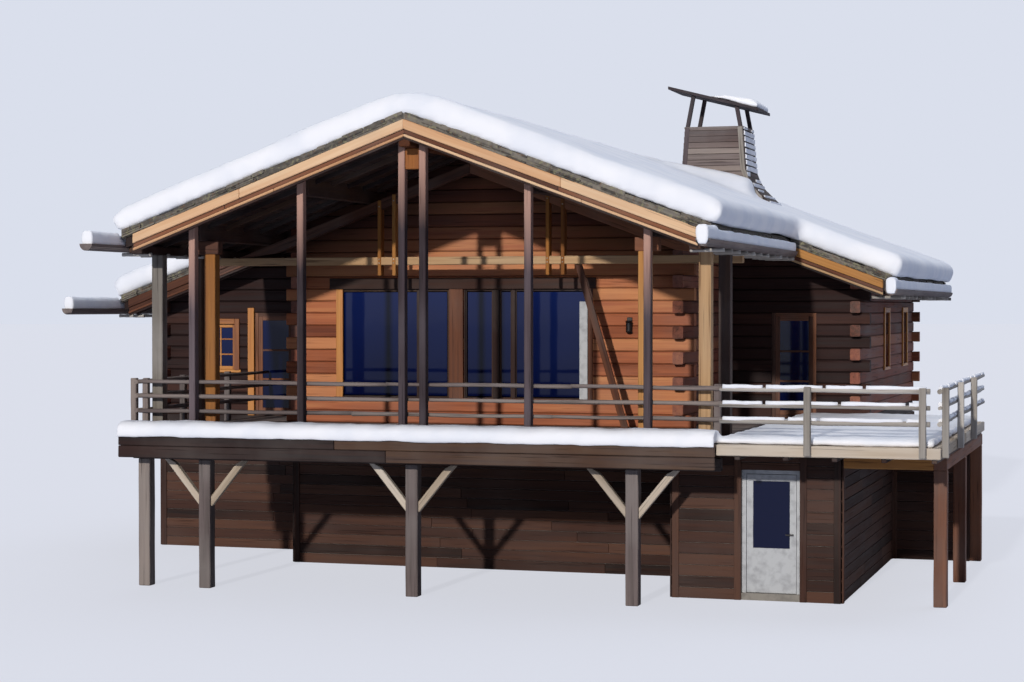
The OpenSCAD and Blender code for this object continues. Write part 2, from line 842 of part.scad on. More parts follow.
// A purlin whose top lies against the roof boards
module purlin(x, bottom, y0, y1) {
    mirror([x < 0 ? 1 : 0, 0, 0]) run_y(y0, y1) polygon([
        [abs(x) - purlin_w / 2, bottom], [abs(x) + purlin_w / 2, bottom],
        [abs(x) + purlin_w / 2, roof_z(abs(x) + purlin_w / 2) - seat],
        [abs(x) - purlin_w / 2, roof_z(abs(x) - purlin_w / 2) - seat]
    ]);
}

module purlins() {
    color(wood_dark) {
        for (x = slim_x) {
            purlin(x, roof_z(abs(x) + purlin_w / 2) - purlin_h, post_y + slim_d / 2 + seat, front_y);
            purlin(x, roof_z(abs(x) + purlin_w / 2) - purlin_h, rear_y, back_y);
        }
        for (y = [[verge_y, front_y], [rear_y, back_y]]) run_y(y[0], y[1]) polygon([
            [-purlin_w / 2, ridge_z - fall * purlin_w / 2 - purlin_h],
            [purlin_w / 2, ridge_z - fall * purlin_w / 2 - purlin_h],
            [purlin_w / 2, roof_z(purlin_w / 2) - seat], [0, ridge_z - seat],
            [-purlin_w / 2, roof_z(purlin_w / 2) - seat]
        ]);
        purlin(-outer_x, eave_purlin_z, verge_y, left_front_y);
        purlin(outer_x, eave_purlin_z, verge_y, right_front_y);
    }
}

truss_t = 160;
truss_y = front_y - 800;
rafter_h = 200;
hanger_drop = 200;
hangers = [hanger_x - hanger_gap / 2, hanger_x + hanger_gap / 2];

// Height of the top of a principal rafter: it touches the purlins that lie on it
function rafter_z(w) = roof_z(w) - purlin_h - fall * purlin_w;

module roof_truss() {
    low = eave_purlin_z - tie_h;
    foot = outer_x - thick_w / 2;
    color("#A58C6C") run_y(truss_y - truss_t / 2, truss_y + truss_t / 2) {
        translate([-outer_x - thick_w / 2, low]) square([2 * outer_x + thick_w, tie_h]);
        for (side = [0, 1]) mirror([side, 0]) intersection() {
            union() {
                polygon([[0, rafter_z(0)], [0, rafter_z(0) - rafter_h],
                         [foot, rafter_z(foot) - rafter_h], [foot, rafter_z(foot)]]);
                for (x = hangers) translate([x - hanger_w / 2, low]) square([hanger_w, ridge_z]);
            }
            polygon([[0, low + tie_h], [foot, low + tie_h], [foot, rafter_z(foot)], [0, rafter_z(0)]]);
        }
        for (side = [-1, 1], x = hangers)
            translate([side * x - hanger_w / 2, low - hanger_drop])
                square([hanger_w, hanger_drop + tie_h / 2]);
    }
}

// Plank that leans in the plane of the truss, its head under the tie beam
module leaning_plank() {
    head = eave_purlin_z - tie_h;
    x = hanger_x + 360;
    color(wood_pale) run_y(truss_y - board_t / 2, truss_y + board_t / 2) polygon([
        [x, head], [x + lean_w, head], [x + lean_run + lean_w, storey_h], [x + lean_run, storey_h]
    ]);
}

// Round lamp on a back plate, high on the front wall beside the right window
lamp_x = 2850;
lamp_z = 4500;
lamp_r = 60;
lamp_h = 220;
plate_t = 30;

module wall_lamp() {
    color("#2A2A2E") {
        block([lamp_x - 50, front_y - plate_t, lamp_z], [lamp_x + 50, front_y, lamp_z + lamp_h + 80]);
        translate([lamp_x, front_y - plate_t - lamp_r, lamp_z + 20])
            cylinder(r = lamp_r, h = lamp_h, $fn = 32);
    }
}

/* Roof */

// Width of the hole in the roof boards under the chimney
flue_w = 600;

module roof_boards_right() {
    color(wood_dark) difference() {
        union() {
            slope_band(0, eave_w, 0, roof_t, verge_y, back_y);
            slope_band(eave_w, right_run, 0, roof_t, right_verge_y, back_y);
        }
        block([stack_x - flue_w / 2, stack_y - flue_w / 2, 0],
              [stack_x + flue_w / 2, stack_y + flue_w / 2, ridge_z]);
    }
}

module roof_boards_left() {
    color(wood_dark) mirror([1, 0, 0]) {
        slope_band(0, eave_w, 0, roof_t, verge_y, back_y);
        slope_band(eave_w, left_run, 0, roof_t, left_verge_y, back_y);
    }
}

// Verge boards on the end of a slope: a deep board with a proud one over it
module verge_pair(w0, w1, y, out) {
    low = roof_t - rake_h;
    mid = roof_t - rake_h / 2;
    mirror([0, out > 0 ? 1 : 0, 0]) translate([0, out > 0 ? -y : y, 0]) {
        slope_band(w0, w1, low, mid, -rake_t / 2, 0);
        slope_band(w0, w1, mid, roof_t, -rake_t, 0);
    }
}

module verge_boards() {
    color(wood_tan) {
        for (side = [0, 1]) mirror([side, 0, 0]) {
            verge_pair(0, eave_w - 150, verge_y, -1);
            verge_pair(0, side == 0 ? right_run - 150 : left_run - 150, back_y, 1);
        }
        verge_pair(eave_w, right_run - 100, right_verge_y, -1);
        mirror([1, 0, 0]) verge_pair(eave_w, left_run - 100, left_verge_y, -1);
    }
}

// Stone slabs in rows, each row stepping up over the one below it
module stone_rows(w0, w1, y0, y1) {
    n = ceil((w1 - w0) / stone_row);
    run_y(y0, y1) polygon(concat(
        [[w1, roof_z(w1) + roof_t + seat], [w0, roof_z(w0) + roof_t + seat]],
        [for (i = [0 : n - 1], end = [0, 1])
            let (w = min(w1, w0 + (i + end) * stone_row))
            [w, roof_z(w) + stone_z - (1 - end) * stone_step]]
    ));
}

// Heights above the snow at which the skirt turns steeper and ends
skirt_h = [330, 650];

// The chimney's outer form from inside the roof to its top
module stack_form() {
    h = stack_w / 2;
    t = stack_top_w / 2;
    foot = roof_z(stack_x + h + skirt_w);
    snow_top = foot + stone_z + snow_t;
    intersection() {
        run_y(stack_y - h, stack_y + h) polygon([
            [stack_x - h, foot], [stack_x + h + skirt_w, foot], [stack_x + h + skirt_w, snow_top],
            [stack_x + h + skirt_w * 0.3, snow_top + skirt_h[0]],
            [stack_x + h * 0.93, snow_top + skirt_h[1]],
            [stack_x + t, stack_z], [stack_x - t, stack_z]
        ]);
        run_x(stack_x - h - 1, stack_x + h + skirt_w + 1) polygon([
            [stack_y - h, foot], [stack_y + h, foot], [stack_y + t, stack_z], [stack_y - t, stack_z]
        ]);
    }
}

module stone_slabs_right() {
    color(stone_grey) difference() {
        union() {
            stone_rows(0, eave_w + stone_over, verge_y - stone_over, back_y + stone_over);
            stone_rows(0, right_run + stone_over, right_verge_y - stone_over, back_y + stone_over);
        }
        stack_form();
    }
}

module stone_slabs_left() {
    color(stone_grey) mirror([1, 0, 0]) {
        stone_rows(0, eave_w + stone_over, verge_y - stone_over, back_y + stone_over);
        stone_rows(0, left_run + stone_over, left_verge_y - stone_over, back_y + stone_over);
    }
}

// Radius of the snow's rounded edges
snow_r = 220;

// A bed of snow on the right slope with rounded eaves and verges
module snow_bed(w1, y0, y1) {
    t = snow_t * cos(tilt);
    l = w1 / cos(tilt);
    crown = t - snow_r;
    edge = [for (a = [0 : 15 : 90]) [snow_r * cos(a), crown + snow_r * sin(a)]];
    translate([0, 0, ridge_z + stone_z + seat]) rotate([0, tilt, 0]) intersection() {
        run_y(y0, y1) polygon(concat([[-t, 0], [l, 0]],
            [for (p = edge) [l - snow_r + p[0], p[1]]], [[-t, t]]));
        run_x(-t - 1, l + 1) polygon(concat([[y0, 0], [y1, 0]],
            [for (p = edge) [y1 - snow_r + p[0], p[1]]],
            [for (i = [len(edge) - 1 : -1 : 0]) [y0 + snow_r - edge[i][0], edge[i][1]]]));
    }
}

// How far the crest of the snow is flattened
ridge_cut = 70;

// How far the snow stays behind the edge of the stone slabs
snow_in = 10;

// How far the snow hangs out over the slabs at the eaves
snow_out = 100;

module snow_half(run, wing_y) {
    over = stone_over - snow_in;
    reach = stone_over + snow_out;
    intersection() {
        union() {
            snow_bed(eave_w + reach, verge_y - over, back_y + over);
            snow_bed(run + reach, wing_y - over, back_y + over);
        }
        block([0, verge_y - 500, 0], [run + 500, back_y + 500, ridge_z + stone_z + snow_t - ridge_cut]);
    }
}

// Height over the bed of the snow blown against the front of the chimney, from its high to its low side
drift_h = [80, 260, 340];
// Reach of that snow beyond the stack's low side, before its front face and behind it
drift_side = 320;
drift_front = 1100;
drift_back = 450;

module chimney_drift() {
    t = snow_t * cos(tilt);
    front = stack_y - stack_w / 2;
    l = [for (x = [-stack_w / 2 - 200, 0, stack_w / 2]) (stack_x + x) / cos(tilt) - t * tan(tilt)];
    translate([0, 0, ridge_z + stone_z + seat]) rotate([0, tilt, 0]) intersection() {
        run_y(front - drift_front, front + drift_back) polygon([
            [l[0], t - 100], [l[0], t + drift_h[0]], [l[1], t + drift_h[1]],
            [l[2], t + drift_h[2]], [l[2] + drift_side, t - 100]
        ]);
        run_x(0, right_run) polygon([
            [front - drift_front, t - 100], [front - drift_front + 100, t], [front - 300, t + drift_h[2]],
            [front + 100, t + drift_h[2]], [front + drift_back - 100, t], [front + drift_back, t - 100]
        ]);
    }
}

module snow_right() {
    color(snow_white) difference() {
        union() {
            snow_half(right_run, right_verge_y);
            chimney_drift();
        }
        stack_form();
    }
}

module snow_left() {
    color(snow_white) mirror([1, 0, 0]) snow_half(left_run, left_verge_y);
}

/* Gutters */

// Thickness of a gutter's closed ends, and height of its middle over the roof's underside
gutter_end = 40;
gutter_lift = 40;

// Height of a gutter's rim above its middle
rim_h = 0;

// A hollowed log along the right eaves, open on top
module gutter(w, y0, y1) {
    translate([w + gutter_r, 0, roof_z(w) + gutter_lift]) difference() {
        run_y(y0, y1) difference() {
            circle(r = gutter_r, $fn = 48);
            translate([-gutter_r - 1, rim_h]) square([2 * gutter_r + 2, gutter_r + 1]);
        }
        run_y(y0 + gutter_end, y1 - gutter_end) circle(r = channel_r, $fn = 48);
    }
}

module gutters() {
    color(wood_dark) {
        gutter(eave_w, verge_y - gutter_out, right_verge_y - stone_over);
        gutter(right_run, right_verge_y - 600, back_y);
        mirror([1, 0, 0]) {
            gutter(eave_w, verge_y - left_gutter_out, left_verge_y - stone_over);
            gutter(left_run, left_verge_y - wing_gutter_out, back_y);
        }
    }
}

// Height of the snow piled on a gutter, forward and along the eaves, and how far it hangs over an end
pile_h = 230;
eave_pile_h = [100, 185];
pile_cap = 60;

// Snow lying in the channel and piled on it, higher on the part that runs forward, where it may cap the end
module channel_snow(w, y0, y1, pile, cap = 0) {
    translate([w + gutter_r, 0, roof_z(w) + gutter_lift]) {
        run_y(y0 + gutter_end, y1 - gutter_end) intersection() {
            circle(r = channel_r, $fn = 48);
            translate([-channel_r, -channel_r]) square([2 * channel_r, channel_r + rim_h]);
        }
        half = gutter_r - 15;
        run_y(cap > 0 ? y0 - cap : y0 + gutter_end, y0 + pile) translate([0, rim_h]) polygon([
            [-half, 0], [half, 0], [half, pile_h - 60], [half - 40, pile_h],
            [40 - half, pile_h], [-half, pile_h - 60]
        ]);
        if (cap > 0) run_y(y0 - cap, y0) polygon([
            [-half, rim_h], [half, rim_h], [half - 30, -0.8 * gutter_r], [30 - half, -0.8 * gutter_r]
        ]);
        run_y(y0 + pile, y1 - gutter_end) translate([0, rim_h]) polygon([
            [-half, 0], [half, 0], [half, eave_pile_h[1] - 40], [half - 30, eave_pile_h[1]],
            [-20, eave_pile_h[1]], [-35, eave_pile_h[0]], [-half, eave_pile_h[0] - 30]
        ]);
    }
}

module gutter_snow() {
    color(snow_white) {
        channel_snow(eave_w, verge_y - gutter_out, right_verge_y - stone_over, gutter_out - 150, pile_cap);
        channel_snow(right_run, right_verge_y - 600, back_y, 400, pile_cap);
        mirror([1, 0, 0]) {
            channel_snow(eave_w, verge_y - left_gutter_out, left_verge_y - stone_over, left_gutter_out - 150);
            channel_snow(left_run, left_verge_y - wing_gutter_out, back_y, wing_gutter_out - 150);
        }
    }
}

// Snow along the deck's front edge, its lip hanging over the edge beam, and the bed on the terrace
module deck_snow() {
    back = post_y - slim_d / 2 - snow_in;
    front = deck_y - edge_t;
    h = deck_snow_h;
    lip = deck_snow_lip;
    bed = terrace_rail_y + rail_d;
    color(snow_white) {
        run_x(-deck_left - edge_t, deck_right) translate([0, storey_h]) polygon([
            [back, 0], [back, 0.65 * h], [back - 60, 0.9 * h], [back - 180, h], [front + 60, 0.95 * h],
            [front - 0.5 * lip, 0.7 * h], [front - lip, 0.3 * h], [front - 0.9 * lip, -0.15 * h],
            [front - 0.4 * lip, -0.3 * h], [front - 1, -0.2 * h], [front - 1, seat], [front, seat], [front, 0]
        ]);
        run_x(deck_right + edge_t, terrace_rail_x - rail_d) translate([0, storey_h]) polygon([
            [bed, 0], [right_front_y - edge_t, 0], [right_front_y - edge_t, terrace_snow_h],
            [bed + 160, terrace_snow_h], [bed + 40, 0.7 * terrace_snow_h]
        ]);
    }
}

/* Chimney */

module chimney_stack() {
    t = stack_top_w / 2;
    color("#7A6457") difference() {
        stack_form();
        under_band();
        block([stack_x - t + stack_t, stack_y - t + stack_t, 0],
              [stack_x + t - stack_t, stack_y + t - stack_t, stack_z + 1]);
    }
}

// All that lies under the top of the roof boards on the right slope
module under_band() {
    run_y(verge_y, back_y) polygon([
        [0, 0], [right_run, 0], [right_run, roof_z(right_run) + roof_t + seat], [0, ridge_z + roof_t + seat]
    ]);
}

// Height of the lid's underside at a place along X
function lid_z(x) = stack_z + lid_gap - lid_fall * (x - stack_x);

// Height of a leaning post's edge, from its foot at x up to the lid
function lean_h(x, side) =
    (lid_gap - seat - lid_fall * (x - stack_x)) / (1 - side * lid_fall * chimney_lean);

module chimney_posts() {
    h = stack_top_w / 2;
    w = chimney_post_w;
    color(wood_grey) for (sx = [-1, 1], y = [stack_y - h, stack_y + h - w])
        run_y(y, y + w) polygon([
            for (end = [0, 1], edge = [0, 1])
                let (x = stack_x + sx * (h - w / 2) + (edge == end ? -w / 2 : w / 2),
                     up = end * lean_h(x, sx))
                [x - sx * chimney_lean * up, stack_z + up]
        ]);
}

module chimney_lid() {
    x0 = stack_x - lid_l / 2;
    x1 = stack_x + lid_l / 2;
    color(wood_grey) run_y(stack_y - lid_w / 2, stack_y + lid_w / 2) polygon([
        [x0, lid_z(x0)], [x1, lid_z(x1)], [x1, lid_z(x1) + lid_t], [x0, lid_z(x0) + lid_t]
    ]);
}

// Bare edge round the snow on the lid, and greatest height of that snow
lid_edge = 30;
lid_snow_h = 170;

module chimney_snow() {
    x0 = stack_x - 100;
    x1 = stack_x + lid_l / 2 - lid_edge;
    places = [[x0, seat], [x1, seat], [x1, 0.65 * lid_snow_h],
              [x1 - 120, lid_snow_h], [x0 + 350, 0.7 * lid_snow_h]];
    color(snow_white) run_y(stack_y - lid_w / 2 + lid_edge, stack_y + lid_w / 2 - lid_edge)
        polygon([for (p = places) [p[0], lid_z(p[0]) + lid_t + p[1]]]);
}

ground_floor();
lower_side_walls();
lower_rear_wall();
lower_front_walls();
annex_wall_left();
annex_wall_right();
annex_lintel();
annex_door_frame();
annex_door();
annex_door_glass();
annex_door_handle();
bay_frame();
upper_floor();
facade_logs();
facade_piers();
hall_side_logs();
wing_front_logs();
wing_side_logs();
rear_wall_logs();
window_frames();
window_glass();
terrace_door();
support_posts();
support_braces();
deck_bearers();
deck_joists();
deck_boards();
deck_edge_beams();
terrace_boards();
deck_railing();
terrace_railing();
front_posts();
thick_posts();
purlins();
roof_truss();
leaning_plank();
wall_lamp();
roof_boards_left();
roof_boards_right();
verge_boards();
stone_slabs_left();
stone_slabs_right();
snow_left();
snow_right();
gutters();
gutter_snow();
deck_snow();
chimney_stack();
chimney_posts();
chimney_lid();
chimney_snow();
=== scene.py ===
"""Alpine chalet: a squared-log house with a deep veranda, a side terrace, a stone roof under
snow and a boarded chimney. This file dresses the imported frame, and sets stage, light and camera.
All sizes are in metres, in the frame's own axes: X to the right, Y into the house, Z up.
"""
import logging
import math
import random
from dataclasses import dataclass, field
from enum import Enum
from typing import Any, Callable

import bpy
import numpy as np
from mathutils import Matrix, Vector


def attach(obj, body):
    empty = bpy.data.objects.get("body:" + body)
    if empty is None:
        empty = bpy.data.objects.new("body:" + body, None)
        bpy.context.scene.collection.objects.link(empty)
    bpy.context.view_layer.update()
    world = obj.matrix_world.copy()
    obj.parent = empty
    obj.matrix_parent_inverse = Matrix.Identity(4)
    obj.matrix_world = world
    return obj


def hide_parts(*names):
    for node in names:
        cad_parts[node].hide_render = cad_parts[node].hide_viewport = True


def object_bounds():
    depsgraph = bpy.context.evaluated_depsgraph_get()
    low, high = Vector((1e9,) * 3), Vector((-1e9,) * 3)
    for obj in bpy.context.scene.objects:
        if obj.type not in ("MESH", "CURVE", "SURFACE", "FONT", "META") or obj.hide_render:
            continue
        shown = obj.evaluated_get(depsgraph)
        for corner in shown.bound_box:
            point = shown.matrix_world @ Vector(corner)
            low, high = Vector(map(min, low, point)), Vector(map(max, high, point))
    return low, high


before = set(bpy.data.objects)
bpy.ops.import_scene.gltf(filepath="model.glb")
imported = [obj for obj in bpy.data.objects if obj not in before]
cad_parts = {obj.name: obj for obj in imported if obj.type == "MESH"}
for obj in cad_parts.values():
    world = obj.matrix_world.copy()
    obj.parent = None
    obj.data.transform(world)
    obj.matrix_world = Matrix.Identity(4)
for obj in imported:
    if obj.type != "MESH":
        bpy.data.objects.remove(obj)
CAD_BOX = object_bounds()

LOG = logging.getLogger("chalet")
RNG = random.Random(1847)
Point = tuple[float, float, float]
Socket = bpy.types.NodeSocket
Tree = bpy.types.NodeTree


@dataclass(frozen=True)
class Plan:
    """The frame's own lines and levels that the dressing follows."""

    storey: float = 2.75
    base: float = 2.5
    front: float = -6.5
    rear: float = 6.5
    posts: float = -10.5
    hall: float = 3.9
    left: float = -7.75
    right: float = 6.6
    left_front: float = -4.5
    right_front: float = -2.5
    deck: float = -11.0
    deck_left: float = 5.3
    deck_right: float = 5.4
    terrace_right: float = 8.95
    terrace: float = -10.9
    annex: float = -9.3
    annex_left: float = 4.3
    annex_right: float = 7.2
    door: float = 5.5
    doorway: float = 1.006
    doorway_top: float = 2.222
    truss: float = -7.3
    verge: float = -10.95
    back: float = 7.0
    left_verge: float = -5.2
    right_verge: float = -3.4
    eave: float = 5.25
    left_run: float = 8.25
    right_run: float = 7.25
    ridge: float = 8.0
    fall: float = 0.373
    boards: float = 0.19
    stone: float = 0.13
    stone_over: float = 0.08
    log: float = 0.236
    log_thick: float = 0.2
    post_bay: float = 2.075

    def roof(self, x: float) -> float:
        """Return the height of the underside of the roof boards at x."""
        return self.ridge - self.fall * abs(x)

    def wing_verge(self, side: int) -> float:
        """Return the y where the wider roof over the left (-1) or right (1) wing starts."""
        return self.right_verge if side > 0 else self.left_verge

    def wing_run(self, side: int) -> float:
        """Return how far the wider roof reaches from the ridge on the left (-1) or right (1)."""
        return self.right_run if side > 0 else self.left_run


PLAN = Plan()


class Lie(Enum):
    """The way a timber's grain runs."""

    ACROSS = 0
    INWARD = 1
    UPRIGHT = 2


def linear(hex_colour: str) -> tuple[float, float, float, float]:
    """Turn an sRGB hex colour into linear light.

    Args:
        hex_colour: A colour such as "#9A5A40".

    Returns:
        Red, green, blue and alpha.
    """
    values = [int(hex_colour[i : i + 2], 16) / 255 for i in (1, 3, 5)]
    bent = [v / 12.92 if v <= 0.04045 else ((v + 0.055) / 1.055) ** 2.4 for v in values]
    return (bent[0], bent[1], bent[2], 1.0)


def feed(tree: Tree, node: bpy.types.Node, inputs: dict[Any, Any]) -> None:
    """Link or set some inputs of a node.

    Args:
        tree: The node tree.
        node: The node.
        inputs: Values or linked sockets, by the input's name or number.
    """
    for key, value in inputs.items():
        if isinstance(value, bpy.types.NodeSocket):
            tree.links.new(value, node.inputs[key])
        else:
            node.inputs[key].default_value = value


def add_node(
    tree: Tree, kind: str, settings: dict[str, Any] | None = None, inputs: dict[Any, Any] | None = None
) -> bpy.types.Node:
    """Add one node with its settings and links.

    Args:
        tree: The node tree.
        kind: The node's type name.
        settings: Attributes of the node.
        inputs: Values or linked sockets, by the input's name or number.

    Returns:
        The new node.
    """
    node = tree.nodes.new(kind)
    for key, value in (settings or {}).items():
        setattr(node, key, value)
    feed(tree, node, inputs or {})
    return node


def calc(tree: Tree, operation: str, *values: Any) -> Socket:
    """Return the result of a math node on up to three values."""
    return add_node(tree, "ShaderNodeMath", {"operation": operation}, dict(enumerate(values))).outputs[0]


def noise(tree: Tree, vector: Socket, scale: float, detail: float) -> Socket:
    """Return the value of a noise texture."""
    inputs = {"Vector": vector, "Scale": scale, "Detail": detail}
    return add_node(tree, "ShaderNodeTexNoise", None, inputs).outputs[0]


def ranged(
    tree: Tree, value: Socket, low: float, high: float, start: float = 0.0, end: float = 1.0
) -> Socket:
    """Return a value mapped from low and high to start and end, and no further."""
    inputs = {0: value, 1: low, 2: high, 3: start, 4: end}
    return add_node(tree, "ShaderNodeMapRange", None, inputs).outputs[0]


def tinted(tree: Tree, share: Socket, colour: Socket, other: str, blend: str = "MIX") -> Socket:
    """Return a colour with a share of a hex colour blended in.

    Args:
        tree: The node tree.
        share: How much of the other colour shows.
        colour: The colour below.
        other: The sRGB hex colour.
        blend: The mix node's blend type.

    Returns:
        The mixed colour.
    """
    return add_node(tree, "ShaderNodeMix", {"data_type": "RGBA", "blend_type": blend},
                    {0: share, 6: colour, 7: linear(other)}).outputs[2]


def ramped(tree: Tree, value: Socket, *stops: tuple[float, str]) -> Socket:
    """Return the colour that a ramp gives a value.

    Args:
        tree: The node tree.
        value: The value to look up.
        stops: Positions and sRGB hex colours, in order.

    Returns:
        The ramp's colour.
    """
    node = add_node(tree, "ShaderNodeValToRGB", None, {0: value})
    elements = node.color_ramp.elements
    while len(elements) < len(stops):
        elements.new(0.5)
    for element, (place, colour) in zip(elements, stops):
        element.position = place
        element.color = linear(colour)
    return node.outputs["Color"]


def bumped(tree: Tree, height: Socket, strength: float, distance: float) -> Socket:
    """Return a normal bent by a height."""
    return add_node(tree, "ShaderNodeBump", None,
                    {"Strength": strength, "Distance": distance, "Height": height}).outputs[0]


def object_place(tree: Tree) -> Socket:
    """Return the place in the object's own axes."""
    return add_node(tree, "ShaderNodeTexCoord").outputs["Object"]


def new_material(name: str) -> tuple[bpy.types.Material, Tree, bpy.types.Node]:
    """Make a material that uses nodes.

    Args:
        name: The material's name.

    Returns:
        The material, its node tree and its Principled shader.
    """
    material = bpy.data.materials.new(name)
    material.use_nodes = True
    tree = material.node_tree
    shader = next(n for n in tree.nodes if n.type == "BSDF_PRINCIPLED")
    return material, tree, shader


@dataclass(frozen=True)
class Figure:
    """One noise drawn along a timber's grain."""

    stretch: Point
    scale: float
    detail: float


STREAKS = Figure((0.55, 15.0, 15.0), 1.0, 5.0)
BANDS = Figure((0.22, 3.2, 3.2), 1.0, 2.0)
CRACKS = Figure((0.8, 34.0, 34.0), 1.0, 2.0)
PATCHES = Figure((1.0, 1.0, 1.0), 0.7, 4.0)


@dataclass(frozen=True)
class Wood:
    """Larch or spruce, hewn or sawn: long streaks of grain, drying cracks and greyed patches.

    Grain lines of 2 to 4 mm are too fine to show, so they are drawn 30 to 60 mm wide.
    """

    name: str
    dark: str
    middle: str
    light: str
    grey: str = "#7D7671"
    weather: float = 0.3
    cracks: float = 0.5
    spread: float = 0.5
    rough: float = 0.72
    lie: Lie | None = None
    course: float = 0.0
    seed: float = 0.0
    # Colour blended in towards the roof line: on the log walls it is painted shade under the gable; on the
    # tall posts a tan at their heads.
    roof_line_tint: str | None = None
    gloss: float = 0.2
    crack_dark: str = "#4A3A34"
    groove_dark: str = "#3C2A24"
    roof_line_from: float = 1.35
    roof_line_to: float = 0.15

    def make(self) -> bpy.types.Material:
        """Build the material, from each timber's own grain or from the object's axes.

        Returns:
            The material.
        """
        material, tree, shader = new_material(self.name)
        if self.lie is None:
            grain = add_node(tree, "ShaderNodeAttribute", {"attribute_name": "grain"}).outputs["Vector"]
            tone = add_node(tree, "ShaderNodeAttribute", {"attribute_name": "tone"}).outputs["Fac"]
            groove = None
        else:
            grain, tone, groove = self.wall_grain(tree)
        place = object_place(tree)
        streak = self.figure(tree, grain, STREAKS)
        band = self.figure(tree, grain, BANDS)
        crack = self.figure(tree, grain, CRACKS)
        patch = self.figure(tree, place, PATCHES)

        centred = calc(tree, "MULTIPLY_ADD", tone, self.spread, 0.5 - self.spread / 2)
        mixed = calc(tree, "MULTIPLY_ADD", streak, 0.55, centred)
        summed = calc(tree, "MULTIPLY_ADD", band, 0.45, mixed)
        level = ranged(tree, summed, 0.62, 1.38)
        colour = ramped(tree, level, (0.08, self.dark), (0.5, self.middle), (0.95, self.light))
        colour = tinted(tree, ranged(tree, patch, 0.42, 0.72, 0.0, self.weather), colour, self.grey)
        # Blend in the roof-line colour: painted shade on the log walls, a tan on the post heads.
        if self.roof_line_tint is not None:
            colour = tinted(tree, self.roof_line_share(tree, place, streak), colour, self.roof_line_tint)
        split = ranged(tree, crack, 0.62, 0.7, 0.0, self.cracks)
        # Darker along the drying cracks.
        colour = tinted(tree, split, colour, self.crack_dark, "MULTIPLY")
        # Darker in a band along each log joint.
        if groove is not None:
            colour = tinted(tree, groove, colour, self.groove_dark, "MULTIPLY")
        feed(tree, shader, {
            "Base Color": colour,
            "Roughness": ranged(tree, streak, 0.3, 0.7, self.rough - 0.1, self.rough + 0.12),
            "Normal": bumped(tree, calc(tree, "SUBTRACT", streak, split), 0.55, 0.012),
            "IOR": 1.5,
            "Specular IOR Level": self.gloss,
        })
        return material

    def figure(self, tree: Tree, vector: Socket, figure: Figure) -> Socket:
        """Draw one figure on the wood.

        Args:
            tree: The material's node tree.
            vector: The place along and across the grain.
            figure: The figure.

        Returns:
            The value of its noise.
        """
        inputs = {"Vector": vector, "Scale": figure.stretch, "Location": (self.seed, self.seed, 0.0)}
        mapped = add_node(tree, "ShaderNodeMapping", None, inputs).outputs[0]
        return noise(tree, mapped, figure.scale, figure.detail)

    def roof_line_share(self, tree: Tree, place: Socket, streak: Socket) -> Socket:
        """Return the share of the roof-line colour: most close under the roof, none far below it; on the log
        walls it paints the shade under the gable.

        Args:
            tree: The material's node tree.
            place: The place in the object's axes.
            streak: The grain's streaks, which fray the lower edge.

        Returns:
            The share, from 0 to 0.9.
        """
        axes = add_node(tree, "ShaderNodeSeparateXYZ", None, {0: place})
        away = calc(tree, "ABSOLUTE", axes.outputs[0])
        level = calc(tree, "MULTIPLY_ADD", away, PLAN.fall, axes.outputs[2])
        uneven = calc(tree, "MULTIPLY_ADD", streak, 0.5, level)
        low, high = PLAN.ridge - self.roof_line_from, PLAN.ridge - self.roof_line_to
        return ranged(tree, uneven, low, high, 0.0, 0.9)

    def wall_grain(self, tree: Tree) -> tuple[Socket, Socket, Socket]:
        """Draw a wall of log courses on Object coordinates.

        Args:
            tree: The material's node tree.

        Returns:
            Grain, tone and the darkening along the log joints.
        """
        place = object_place(tree)
        turn = (0.0, 0.0, math.pi / 2) if self.lie is Lie.INWARD else (0.0, 0.0, 0.0)
        turned = add_node(tree, "ShaderNodeMapping", None, {"Vector": place, "Rotation": turn}).outputs[0]
        height = add_node(tree, "ShaderNodeSeparateXYZ", None, {0: place}).outputs[2]
        count = calc(tree, "DIVIDE", calc(tree, "SUBTRACT", height, PLAN.storey), self.course)
        course = calc(tree, "FLOOR", count)
        share = calc(tree, "FRACT", count)
        shifted = calc(tree, "ADD", course, self.seed)
        tone = add_node(tree, "ShaderNodeTexWhiteNoise", {"noise_dimensions": "1D"}, {"W": shifted})
        offset = add_node(tree, "ShaderNodeCombineXYZ", None, {0: shifted, 1: shifted, 2: 0.0}).outputs[0]
        grain = add_node(tree, "ShaderNodeVectorMath", {"operation": "ADD"}, {0: turned, 1: offset})
        away = calc(tree, "ABSOLUTE", calc(tree, "SUBTRACT", share, 0.5))
        groove = ranged(tree, away, 0.44, 0.49, 0.0, 0.6)
        return grain.outputs[0], tone.outputs[0], groove


@dataclass(frozen=True)
class SplitStone:
    """Gneiss split along its layers: brown grey, with pale and rusty lichen, rough and matt."""

    name: str = "split_gneiss"
    pale_lichen: str = "#8A8568"
    rusty_lichen: str = "#6B5038"

    def make(self) -> bpy.types.Material:
        """Build the material, each slab with its own tone and lichen spots of 20 to 60 mm.

        Returns:
            The material.
        """
        material, tree, shader = new_material(self.name)
        place = object_place(tree)
        tone = add_node(tree, "ShaderNodeAttribute", {"attribute_name": "tone"}).outputs["Fac"]
        grit = noise(tree, place, 9.0, 6.0)
        mixed = calc(tree, "MULTIPLY_ADD", tone, 0.5, grit)
        colour = ramped(tree, mixed, (0.3, "#2F2C29"), (0.6, "#55504A"), (1.0, "#7C756B"))
        spots = noise(tree, place, 14.0, 3.0)
        colour = tinted(tree, ranged(tree, spots, 0.56, 0.64, 0.0, 0.7), colour, self.pale_lichen)
        colour = tinted(tree, ranged(tree, spots, 0.4, 0.34, 0.0, 0.6), colour, self.rusty_lichen)
        feed(tree, shader, {"Base Color": colour, "Normal": bumped(tree, grit, 0.7, 0.02), "Roughness": 0.88})
        return material


